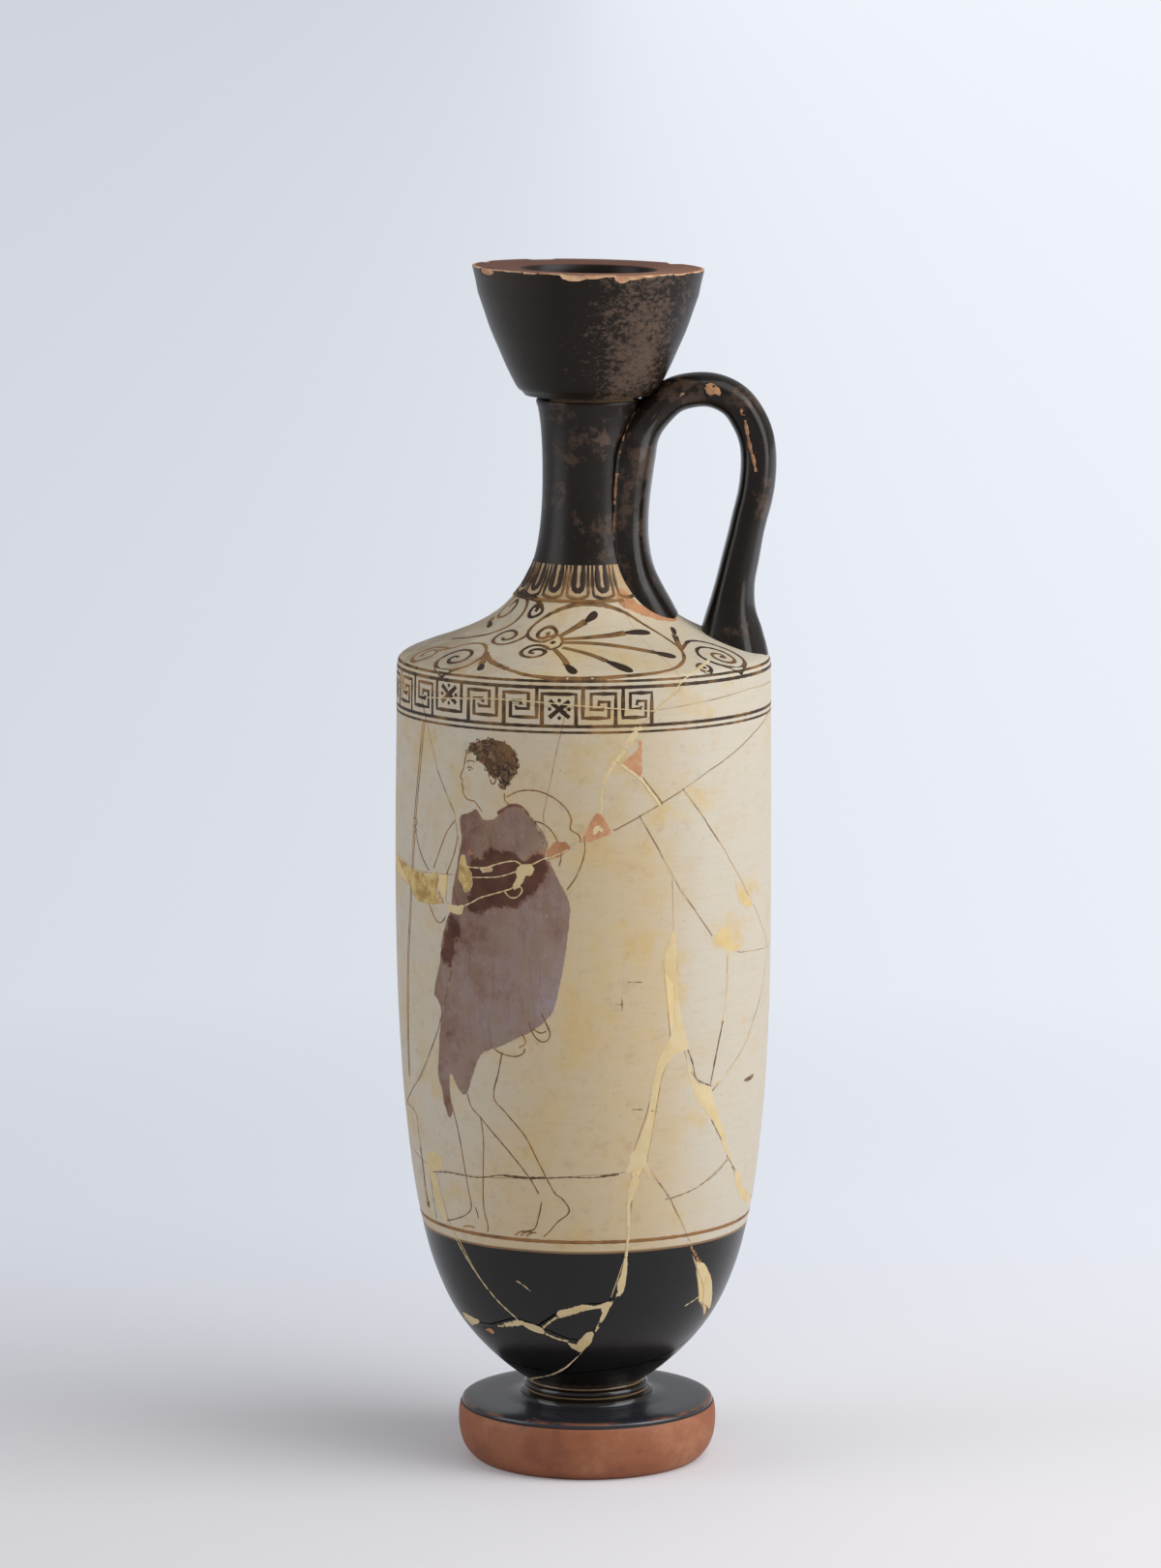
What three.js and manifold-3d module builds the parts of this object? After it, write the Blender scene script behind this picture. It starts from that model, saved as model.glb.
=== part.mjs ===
// A restored oil flask (lekythos): thrown sections, a pulled strap handle, and a wall mended from sherds.
// Millimetres, +Z up, origin under the foot on the axis, handle towards +X.
import * as THREE from 'three';
import Module from 'manifold-3d';
import { ConvexGeometry } from 'three/addons/geometries/ConvexGeometry.js';
import { mergeVertices } from 'three/addons/utils/BufferGeometryUtils.js';

const wasm = await Module();
wasm.setup();

// Driving dimensions
const footRadius = 39.5;
const footHeight = 18.2;
const footRecess = 4;
const collarRadius = 18;
const collarHeight = 5.8;
const bodyRadius = 56.9;
const bodyHeight = 222.6;
const baseRadius = 17.6;
const shoulderRise = 23.4;
const wallThickness = 4.2;
const neckRadius = 13.4;
const neckFlare = 5.3;
const neckHeight = 56.5;
const neckBore = 8;
const mouthRadius = 34.9;
const mouthHeight = 38.5;
const mouthOpening = 20.5;
const mouthBase = 18.5;
const spigotLength = 5;
const spigotRadius = 11.4;
const clearance = 0.3;
const crackWidth = 0.3;
const handleReach = 52.2;
const handleRise = 1.6;
const handleWidth = 18;
const handleThickness = 10.6;
const turnSteps = 36;
const frontAngle = -90;

// Levels that the driving dimensions give
const bodyBase = footHeight + collarHeight;
const shoulderEdge = bodyBase + bodyHeight;
const neckSeat = shoulderEdge + shoulderRise;
const mouthSeat = neckSeat + neckHeight;
const rim = mouthSeat + mouthHeight;

const finish = {
  slip: new THREE.MeshStandardMaterial({ color: 0xe6dcc4, roughness: 0.6, metalness: 0 }),
  black: new THREE.MeshStandardMaterial({ color: 0x1d1a18, roughness: 0.3, metalness: 0 }),
  clay: new THREE.MeshStandardMaterial({ color: 0xa8603f, roughness: 0.7, metalness: 0 }),
  plaster: new THREE.MeshStandardMaterial({ color: 0xdcc592, roughness: 0.8, metalness: 0 }),
};
const vase = new THREE.Group();

// Booleans
function toSolid(geometry) {
  const bare = geometry.index ? geometry.toNonIndexed() : geometry.clone();
  bare.deleteAttribute('normal');
  bare.deleteAttribute('uv');
  const merged = mergeVertices(bare, 1e-4);
  const mesh = new wasm.Mesh({
    numProp: 3,
    vertProperties: new Float32Array(merged.attributes.position.array),
    triVerts: new Uint32Array(merged.index.array),
  });
  const solid = new wasm.Manifold(mesh);
  return solid;
}

function toGeometry(solid) {
  const { vertProperties, triVerts, numProp } = solid.getMesh();
  const positions = new Float32Array((vertProperties.length / numProp) * 3);
  for (let i = 0; i < positions.length / 3; i += 1) {
    positions.set(vertProperties.subarray(i * numProp, i * numProp + 3), i * 3);
  }
  const geometry = new THREE.BufferGeometry();
  geometry.setAttribute('position', new THREE.BufferAttribute(positions, 3));
  geometry.setIndex(new THREE.BufferAttribute(new Uint32Array(triVerts), 1));
  geometry.computeVertexNormals();
  return geometry;
}

function add(name, geometry, material) {
  const mesh = new THREE.Mesh(geometry, material);
  mesh.name = name;
  vase.add(mesh);
}

// Closed turned solid from [radius, height] points listed from the axis outward and up
function turned(points) {
  const profile = points.map(([radius, height]) => new THREE.Vector2(radius, height));
  if (points[0][0] > 0) profile.push(profile[0].clone());
  return new THREE.LatheGeometry(profile, turnSteps).rotateX(Math.PI / 2);
}

// Foot: a thick disc with a conical recess below, a stepped collar above and a socket for the body
const socketDepth = spigotLength + clearance;
add('foot', turned([
  [0, footRecess],
  [footRadius * 0.5, 0],
  [footRadius - 3.4, 0],
  [footRadius - 1, footHeight * 0.25],
  [footRadius, footHeight * 0.6],
  [footRadius - 0.4, footHeight * 0.88],
  [footRadius - 1.4, footHeight],
  [collarRadius + 1.4, footHeight + 0.5],
  [collarRadius + 0.9, footHeight + collarHeight * 0.45],
  [collarRadius, footHeight + collarHeight * 0.55],
  [collarRadius + 0.4, footHeight + collarHeight * 0.85],
  [baseRadius, bodyBase],
  [spigotRadius + clearance, bodyBase],
  [spigotRadius + clearance, bodyBase - socketDepth],
  [0, bodyBase - socketDepth],
]), finish.black);

// Body: outline as shares of the body height and of the body radius, from the base up
const bodyOutline = [
  [0.02, 0.42], [0.0575, 0.576], [0.098, 0.697], [0.139, 0.775], [0.194, 0.847], [0.275, 0.908],
  [0.411, 0.965], [0.6, 0.996], [0.85, 0.995], [1, 0.984],
];
const shoulderOutline = [[0.056, 0.972], [0.19, 0.847], [0.37, 0.65], [0.59, 0.48], [0.8, 0.39]];
const outerWall = bodyOutline.map(([share, radius]) => [bodyRadius * radius, bodyBase + bodyHeight * share]);
const outerShoulder = shoulderOutline.map(([share, radius]) => [
  bodyRadius * radius,
  shoulderEdge + shoulderRise * share,
]);
const neckFoot = neckRadius + neckFlare;
const innerWall = outerWall
  .filter(([, height]) => height > bodyBase + wallThickness * 1.5 && height < shoulderEdge - wallThickness)
  .map(([radius, height]) => [radius - wallThickness, height])
  .filter((point, i) => i % 2 === 0);
const innerShoulder = outerShoulder
  .filter(([radius]) => radius < bodyRadius - wallThickness * 2)
  .map(([radius, height]) => [radius - wallThickness * 0.4, height - wallThickness]);
const body = toSolid(turned([
  [0, bodyBase - spigotLength],
  [spigotRadius, bodyBase - spigotLength],
  [spigotRadius, bodyBase],
  [baseRadius, bodyBase],
  ...outerWall,
  ...outerShoulder,
  [neckFoot, neckSeat],
  [spigotRadius + clearance, neckSeat],
  [spigotRadius + clearance, neckSeat - wallThickness - spigotLength],
  ...innerShoulder.reverse(),
  [bodyRadius * 0.984 - wallThickness, shoulderEdge - wallThickness],
  ...innerWall.reverse(),
  [baseRadius, bodyBase + wallThickness * 1.5],
  [0, bodyBase + wallThickness * 1.5],
]));

// Break lines: points as [degrees right of the front, percent of the body's height]; from 100 to 200 is the shoulder
const breaks = [
  [[-180, 97.5], [-120, 97], [-60, 97.7], [-20, 97], [22, 96.1]],
  [[22, 96.1], [60, 97.5], [110, 97], [180, 97.5]],
  [[22, 96.1], [30, 98.8]],
  [[30, 98.6], [30, 103.8]],
  [[30, 99.7], [30, 221.4]],
  [[-82, 97.1], [-82, 103.8]],
  [[-82, 99.7], [-82, 221.4]],
  [[150, 97], [150, 103.8]],
  [[150, 99.7], [150, 221.4]],
  [[22, 96.1], [16, 93.4], [15, 88.9], [24, 83.6]],
  [[-180, 81.3], [-140, 77.3], [-100, 72.8], [-75, 73.7], [-58, 72.8], [-44, 73.2], [-37, 73.7], [-25, 75.5], [-15, 76.1],
    [0, 79.1], [10, 80.4], [24, 83.6], [40, 87.2], [63, 91.2], [80, 93.4], [100, 97]],
  [[-60, 97.9], [-50, 87.2], [-42, 81.3], [-39, 73.7]],
  [[-5, 97], [-9, 88.9], [-12, 82.2], [-11, 76.6]],
  [[-100, 72.8], [-75, 71], [-58, 70.1], [-43, 69.2], [-30, 71.2], [-22, 72.1], [-17, 75.9]],
  [[-46, 69.3], [-45, 73.3]],
  [[-43, 69.2], [-44, 63.3], [-50, 52.1], [-60, 44.9], [-80, 39.1], [-110, 35.9]],
  [[17, 82], [30, 71.9], [42, 65.1], [55, 62], [78, 61.1], [110, 63.8]],
  [[31, 85.4], [40, 80.4], [58, 70.5], [78, 61.1]],
  [[27.5, 74.1], [28, 65.6], [24.5, 62], [25.5, 58.4], [27, 52.1], [22, 46.3], [20, 42.2], [15, 35.5], [15.5, 29.6], [14, 21.6],
    [9.5, 15.3], [2, 9.4], [-6, 5.4], [-14, 3.1]],
  [[28, 65.6], [29.2, 61.1], [29.5, 53], [24, 45.8], [21.5, 38.6], [20, 34.6], [16.4, 31.9], [15.5, 29.6]],
  [[29.5, 53], [34, 47.2], [42, 43.1], [54, 33.7], [64, 28.3], [80, 26.1], [112, 27.9]],
  [[20, 34.6], [30, 28.8], [38, 23.4], [50, 17.1], [66, 9.9], [80, 7.2]],
  [[38, 23.4], [52, 13.5], [66, 9.9]],
  [[29, 29.4], [40, 30.5], [54, 33.7]],
  [[-110, 35.9], [-60, 31.9], [-30, 32.3], [-10, 33], [15.5, 33.7]],
  [[-57, 31.9], [-54, 25.2], [-40, 15.7], [-30, 12.1], [-20, 11.2], [-8, 9.4], [1.5, 9]],
  [[-110, 35.9], [-96, 16.2], [-70, 9.9], [-60, 9.9], [-45, 10.3], [-30, 12.1]],
  [[-20, 11.2], [-10, 13.7], [0, 14.8], [9, 15]],
  [[49, 63.8], [48.5, 55.7], [42, 43.1]],
  [[78, 61.1], [70, 54.8], [58, 48.5], [42, 43.1]],
  [[110, 97], [112, 79.1], [110, 63.8], [112, 43.1], [112, 27.9], [100, 17.1], [80, 7.2], [40, 4.5], [-14, 3.1]],
  [[-180, 81.3], [-175, 75], [-183, 68.3], [-176, 61.1], [-180, 54.8]],
  [[-180, 18], [-176, 12.6], [-182, 8.5], [-180, 4.5]],
  [[110, 63.8], [150, 56.6], [180, 54.8]],
  [[-180, 54.8], [-140, 48.5], [-110, 35.9]],
  [[112, 27.9], [150, 21.6], [180, 18]],
  [[-180, 18], [-120, 13.5], [-90, 15.3]],
  [[-14, 3.1], [-50, 3.6], [-100, 4], [-180, 4.5]],
  [[180, 4.5], [120, 4.9], [60, 4], [40, 4.5]],
];
const plasterSpots = [
  [-70, 72.3], [-50, 71.7], [27, 61.1], [18, 36.4], [52, 15.3],
];

const angleAt = (degrees) => THREE.MathUtils.degToRad(frontAngle + degrees);
const heightAt = (percent) => {
  if (percent <= 100) return bodyBase + bodyHeight * percent / 100;
  return shoulderEdge + shoulderRise * (percent / 100 - 1);
};

// A radial blade along one break line: a thin convex wedge for each step round the axis
const bendStep = 10;
const bladeDepth = wallThickness * 3.4;
const bladeProud = 2;
const bladeOverlap = crackWidth * 1.5;
const shoulderFrom = 99;
function wallRadiusAt(height) {
  const next = outerWall.findIndex(([, level]) => level >= height);
  if (next < 0) return outerWall[outerWall.length - 1][0];
  if (next === 0) return outerWall[0][0];
  const [before, after] = [outerWall[next - 1], outerWall[next]];
  return THREE.MathUtils.mapLinear(height, before[1], after[1], before[0], after[0]);
}

function wedge(from, to, crossesShoulder) {
  const along = to.clone().sub(from).normalize();
  const side = new THREE.Vector2(-along.y, along.x).multiplyScalar(crackWidth / 2);
  const over = along.clone().multiplyScalar(bladeOverlap);
  const corners = [];
  for (const end of [from.clone().sub(over), to.clone().add(over)]) {
    for (const corner of [end.clone().add(side), end.clone().sub(side)]) {
      const turn = THREE.MathUtils.degToRad(frontAngle) + corner.x / bodyRadius;
      const wall = wallRadiusAt(corner.y);
      const inner = crossesShoulder ? spigotRadius : wall - bladeDepth;
      const outer = crossesShoulder ? bodyRadius + bladeProud : wall + bladeProud;
      for (const reach of [inner, outer]) {
        corners.push(new THREE.Vector3(reach * Math.cos(turn), reach * Math.sin(turn), corner.y));
      }
    }
  }
  return toSolid(new ConvexGeometry(corners));
}

function blade(line) {
  const wedges = [];
  const crossesShoulder = line.every(([, percent]) => percent >= shoulderFrom);
  for (let i = 0; i < line.length - 1; i += 1) {
    const ends = [line[i], line[i + 1]].map(([degrees, percent]) => new THREE.Vector2(
      THREE.MathUtils.degToRad(degrees) * bodyRadius,
      heightAt(percent),
    ));
    const steps = Math.max(1, Math.ceil(Math.abs(line[i + 1][0] - line[i][0]) / bendStep));
    for (let k = 0; k < steps; k += 1) {
      const from = ends[0].clone().lerp(ends[1], k / steps);
      const to = ends[0].clone().lerp(ends[1], (k + 1) / steps);
      wedges.push(wedge(from, to, crossesShoulder));
    }
  }
  return wedges;
}

// Pieces of the wall
const blades = wasm.Manifold.union(breaks.flatMap(blade));
const pieces = body.subtract(blades).decompose();
const probeReach = bodyRadius * 2;
function probe([degrees, percent]) {
  const turn = angleAt(degrees);
  const geometry = new THREE.BoxGeometry(probeReach, 0.2, 0.2).translate(probeReach / 2 + spigotRadius, 0, 0);
  geometry.rotateZ(turn).translate(0, 0, heightAt(percent));
  return toSolid(geometry);
}
const spots = plasterSpots.map(probe);
const smallest = 15;
const blackTop = bodyBase + bodyHeight * 0.223;
const counts = { sherd: 0, fill: 0 };
const sorted = pieces
  .filter((piece) => piece.volume() > smallest)
  .map((piece) => ({ piece, box: piece.boundingBox() }))
  .sort((a, b) => b.box.max[2] - a.box.max[2]);
for (const { piece, box } of sorted) {
  const kind = spots.some((spot) => piece.intersect(spot).volume() > 1e-3) ? 'fill' : 'sherd';
  counts[kind] += 1;
  const label = String(counts[kind]).padStart(2, '0');
  const coat = (box.min[2] + box.max[2]) / 2 < blackTop ? finish.black : finish.slip;
  add(`${kind}_${label}`, toGeometry(piece), kind === 'fill' ? finish.plaster : coat);
}

// Neck: a turned tube with a spigot in the shoulder and a small ridge under the mouth
const neckOutline = [
  [0.11, 0.51], [0.21, 0.23], [0.32, 0.06], [0.48, 0], [0.72, 0.06], [0.83, 0.15], [0.93, 0.34], [0.975, 0.38],
];
const outerNeck = neckOutline.map(([share, flare]) => [
  neckRadius + neckFlare * flare,
  neckSeat + neckHeight * share,
]);
add('neck', turned([
  [spigotRadius, neckSeat - spigotLength],
  [spigotRadius, neckSeat],
  [neckFoot, neckSeat],
  ...outerNeck,
  [neckRadius + 1.2, mouthSeat],
  [neckBore, mouthSeat],
  [neckBore, neckSeat - spigotLength],
]), finish.black);

// Mouth: a thick calyx with a flat top ring and a deep funnel
const mouthOutline = [
  [0.06, 0.165], [0.21, 0.36], [0.364, 0.518], [0.514, 0.671], [0.665, 0.78], [0.816, 0.896], [0.966, 1], [0.985, 1],
];
const outerMouth = mouthOutline.map(([share, flare]) => [
  mouthBase + (mouthRadius - mouthBase) * flare,
  mouthSeat + mouthHeight * share,
]);
add('mouth', turned([
  [neckBore, mouthSeat],
  [mouthBase, mouthSeat],
  ...outerMouth,
  [mouthRadius - 0.3, rim],
  [mouthOpening + 0.8, rim - 0.5],
  [mouthOpening, rim - 1.2],
  [mouthOpening - 0.8, rim - mouthHeight * 0.18],
  [neckBore + 5, rim - mouthHeight * 0.66],
  [neckBore + 1, rim - mouthHeight * 0.9],
]), finish.black);

// Handle: a strap that rises along the neck, arches over and comes down on the shoulder
const handleTop = mouthSeat + handleRise;
const span = handleReach - neckRadius;
const innerLeg = (share) => neckRadius + handleThickness * share;
const overArch = (share) => neckRadius + span * share;
const outerLeg = (share) => handleReach - handleThickness * share;
const alongNeck = (share) => neckSeat + neckHeight * share;
const alongShoulder = (share) => shoulderEdge + shoulderRise * share;
const handlePath = new THREE.CatmullRomCurve3([
  [innerLeg(0.53), alongShoulder(0.4)],
  [innerLeg(0.29), alongShoulder(0.7)],
  [innerLeg(0.075), neckSeat],
  [innerLeg(-0.057), alongNeck(0.133)],
  [innerLeg(-0.113), alongNeck(0.283)],
  [innerLeg(-0.075), alongNeck(0.425)],
  [innerLeg(0.02), alongNeck(0.566)],
  [innerLeg(0.19), alongNeck(0.7)],
  [overArch(0.124), alongNeck(0.814)],
  [overArch(0.237), alongNeck(0.92)],
  [overArch(0.387), mouthSeat],
  [overArch(0.541), handleTop],
  [overArch(0.693), mouthSeat + handleRise * 0.55],
  [overArch(0.825), alongNeck(0.97)],
  [overArch(0.923), alongNeck(0.894)],
  [outerLeg(0.075), alongNeck(0.796)],
  [handleReach, alongNeck(0.673)],
  [outerLeg(0.05), alongNeck(0.549)],
  [outerLeg(0.255), alongNeck(0.358)],
  [outerLeg(0.49), alongNeck(0.135)],
  [outerLeg(0.68), alongShoulder(0.765)],
  [outerLeg(0.735), alongShoulder(0.36)],
  [outerLeg(0.68), alongShoulder(0.01)],
].map(([x, z]) => new THREE.Vector3(x, 0, z)), false, 'centripetal');
// Width and depth at shares of the path: broad where the clay is smeared on the neck and the shoulder
const handleWidths = [
  [0, 1.5], [0.05, 1.67], [0.09, 1.67], [0.13, 1.5], [0.18, 1.3], [0.27, 0.99], [0.35, 0.81], [0.45, 0.78],
  [0.6, 0.83], [0.82, 0.94], [0.9, 1.03], [0.955, 1.33], [1, 1.55],
];
const handleDepths = [
  [0, 1.23], [0.05, 1.42], [0.09, 1.47], [0.13, 1.38], [0.18, 1.31], [0.27, 1.15], [0.35, 1.02], [0.45, 0.98],
  [0.6, 1.03], [0.75, 1], [0.85, 1.08], [0.9, 1.21], [0.955, 1.64], [1, 1.89],
];
function sizeAt(stations, share) {
  const next = Math.max(1, stations.findIndex(([place]) => place >= share));
  const [before, after] = [stations[next - 1], stations[next]];
  return THREE.MathUtils.mapLinear(share, before[0], after[0], before[1], after[1]);
}
const handleSteps = 30;
const handleSides = 12;
const strap = new THREE.CylinderGeometry(1, 1, 1, handleSides, handleSteps);
const strapPlaces = strap.attributes.position;
for (let i = 0; i < strapPlaces.count; i += 1) {
  const share = THREE.MathUtils.clamp(strapPlaces.getY(i) + 0.5, 0, 1);
  const centre = handlePath.getPointAt(share);
  const along = handlePath.getTangentAt(share);
  const across = (strapPlaces.getX(i) * handleThickness * sizeAt(handleDepths, share)) / 2;
  const wide = (strapPlaces.getZ(i) * handleWidth * sizeAt(handleWidths, share)) / 2;
  strapPlaces.setXYZ(i, centre.x + along.z * across, -wide, centre.z - along.x * across);
}
const seat = toSolid(turned([
  [0, bodyBase],
  ...[[bodyRadius * 0.984, shoulderEdge], ...outerShoulder, [neckFoot, neckSeat], ...outerNeck]
    .map(([radius, height]) => [radius + clearance, height + clearance]),
  [0, mouthSeat],
]));
const strapSolid = toSolid(strap);
const handleParts = strapSolid.subtract(seat).decompose();
handleParts.sort((a, b) => b.volume() - a.volume());
add('handle', toGeometry(handleParts[0]), finish.black);

export default vase;
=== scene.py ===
# Dressed model of a restored white-ground oil flask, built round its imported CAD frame.
# Sizes in this script are millimetres and degrees unless a name says otherwise.
import math
import random

import bmesh
import bpy
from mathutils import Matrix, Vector


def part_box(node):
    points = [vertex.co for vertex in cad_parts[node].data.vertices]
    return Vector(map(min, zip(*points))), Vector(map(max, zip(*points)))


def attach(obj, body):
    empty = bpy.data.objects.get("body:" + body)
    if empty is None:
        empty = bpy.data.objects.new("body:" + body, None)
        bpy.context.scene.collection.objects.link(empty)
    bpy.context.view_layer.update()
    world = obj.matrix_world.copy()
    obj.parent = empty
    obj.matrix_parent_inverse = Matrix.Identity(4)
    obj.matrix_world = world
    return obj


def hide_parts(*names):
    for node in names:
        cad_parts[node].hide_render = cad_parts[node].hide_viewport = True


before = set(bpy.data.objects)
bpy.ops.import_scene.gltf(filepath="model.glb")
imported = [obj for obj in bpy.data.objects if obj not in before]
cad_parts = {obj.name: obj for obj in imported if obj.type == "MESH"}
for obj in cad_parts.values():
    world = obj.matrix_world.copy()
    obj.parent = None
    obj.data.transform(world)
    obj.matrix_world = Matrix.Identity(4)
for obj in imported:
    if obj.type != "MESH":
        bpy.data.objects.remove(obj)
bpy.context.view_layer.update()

MM = 0.001
BODY = "root"
FRONT = -90.0
HANDLE = 90.0
rng = random.Random(7)


# Levels and radii that the CAD nodes give
def top_of(node):
    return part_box(node)[1][2] / MM


def bottom_of(node):
    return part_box(node)[0][2] / MM


rim = top_of("mouth")
mouth_seat = bottom_of("mouth")
neck_seat = top_of("sherd_01")
body_base = top_of("foot")

# Inner sizes: the neck's bore and spigot, and the foot's socket for the body
bore = 8.0
spigot_radius = 11.4
spigot_base = 265.0
socket_radius = 11.7
socket_floor = 18.7

# The CAD wall's outline, as shares of the body's height and radius; a facet of it spans 10 degrees
body_radius = 56.9
body_height = 222.6
shoulder_edge = body_base + body_height
shoulder_rise = neck_seat - shoulder_edge
facet = 10.0
cad_shares = [
    (0.02, 0.42), (0.0575, 0.576), (0.098, 0.697), (0.139, 0.775), (0.194, 0.847), (0.275, 0.908),
    (0.411, 0.965), (0.6, 0.996), (0.85, 0.995), (1, 0.984),
]
cad_shoulder_shares = [(0.056, 0.972), (0.19, 0.847), (0.37, 0.65), (0.59, 0.48), (0.8, 0.39), (1, 0.3286)]
cad_wall = [(body_base, 17.6)]
cad_wall += [(body_base + body_height * h, body_radius * r) for h, r in cad_shares]
cad_wall += [(shoulder_edge + shoulder_rise * h, body_radius * r) for h, r in cad_shoulder_shares]

# The true wall: height and radius, read from the photograph's outline
true_wall = [
    (24, 17.6), (26.5, 21.2), (30.7, 26.4), (36.8, 32.6), (43, 37.6), (49, 41.3), (55, 44.1), (61.1, 46.4),
    (67.2, 48.2), (79.3, 50.9), (91.4, 52.8), (103.4, 54.1), (115.5, 55.2), (139.6, 56.5), (165, 57),
    (200, 57), (229, 56.7), (243, 56.6),
]
true_shoulder = [
    (243, 56.6), (245.4, 56.5), (247, 56.1), (248, 55.3), (248.8, 54), (249.7, 51.8), (251.1, 48.2),
    (253, 42.7), (255.2, 37), (257.6, 31.9), (260.4, 27.3), (263.6, 23.6), (266.8, 20.9), (270, 18.8),
]

# The thrown parts sit a little askew: sideways offset by height, towards the photograph's right
lean_table = [
    (0, 0.7), (18, 0.7), (25, 0.2), (80, 0), (180, -0.5), (240, -0.3), (268, 0), (300, 0.6), (327, 1),
    (365, 1.05),
]


def between(table, at):
    """Straight interpolation in a list of (place, value)."""
    if at <= table[0][0]:
        return table[0][1]
    for (x0, y0), (x1, y1) in zip(table, table[1:]):
        if at <= x1:
            return y0 + (y1 - y0) * (at - x0) / (x1 - x0)
    return table[-1][1]


def smooth_between(table, at):
    """Cubic interpolation with slopes from the neighbouring points."""
    xs = [x for x, _ in table]
    ys = [y for _, y in table]
    if at <= xs[0]:
        return ys[0]
    if at >= xs[-1]:
        return ys[-1]
    i = max(k for k in range(len(xs) - 1) if xs[k] <= at)

    def slope(k):
        low, high = max(k - 1, 0), min(k + 1, len(xs) - 1)
        return (ys[high] - ys[low]) / (xs[high] - xs[low])

    h = xs[i + 1] - xs[i]
    t = (at - xs[i]) / h
    return (
        (2 * t**3 - 3 * t**2 + 1) * ys[i]
        + (t**3 - 2 * t**2 + t) * h * slope(i)
        + (3 * t**2 - 2 * t**3) * ys[i + 1]
        + (t**3 - t**2) * h * slope(i + 1)
    )


def leaned(place):
    return place + Vector((between(lean_table, place.z / MM) * MM, 0, 0))


def wall_radius(z):
    if z <= true_wall[-1][0]:
        return smooth_between(true_wall, z)
    return smooth_between(true_shoulder, z)


def shoulder_height(radius):
    """Height of the shoulder's surface at that radius."""
    low, high = true_shoulder[0][0], true_shoulder[-1][0]
    for _ in range(24):
        middle = (low + high) / 2
        if wall_radius(middle) > radius:
            low = middle
        else:
            high = middle
    return (low + high) / 2


# Surface maps
def surface_normal(z, turn):
    slope = (wall_radius(z + 0.3) - wall_radius(z - 0.3)) / 0.6
    return Vector((math.cos(turn), math.sin(turn), -slope)).normalized()


def on_surface(turn, z, lift):
    reach = wall_radius(z)
    place = Vector((reach * math.cos(turn), reach * math.sin(turn), z)) + lift * surface_normal(z, turn)
    return leaned(place * MM)


def wall_point(arc, z, lift):
    """arc is millimetres right of the photographed front, along a wall of the body's radius."""
    return on_surface(math.radians(FRONT) + arc / body_radius, z, lift)


def shoulder_point(across, near, lift):
    """across is right of the axis as photographed, near is towards the photographed front."""
    turn = math.radians(FRONT) + math.atan2(across, near)
    return on_surface(turn, shoulder_height(math.hypot(across, near)), lift)


def mirrored_wall(arc):
    return math.radians(2 * HANDLE) * body_radius - arc


def mirrored_shoulder(across, near):
    radius = math.hypot(across, near)
    turn = 2 * math.radians(HANDLE) - math.atan2(across, near)
    return radius * math.sin(turn), radius * math.cos(turn)


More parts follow.
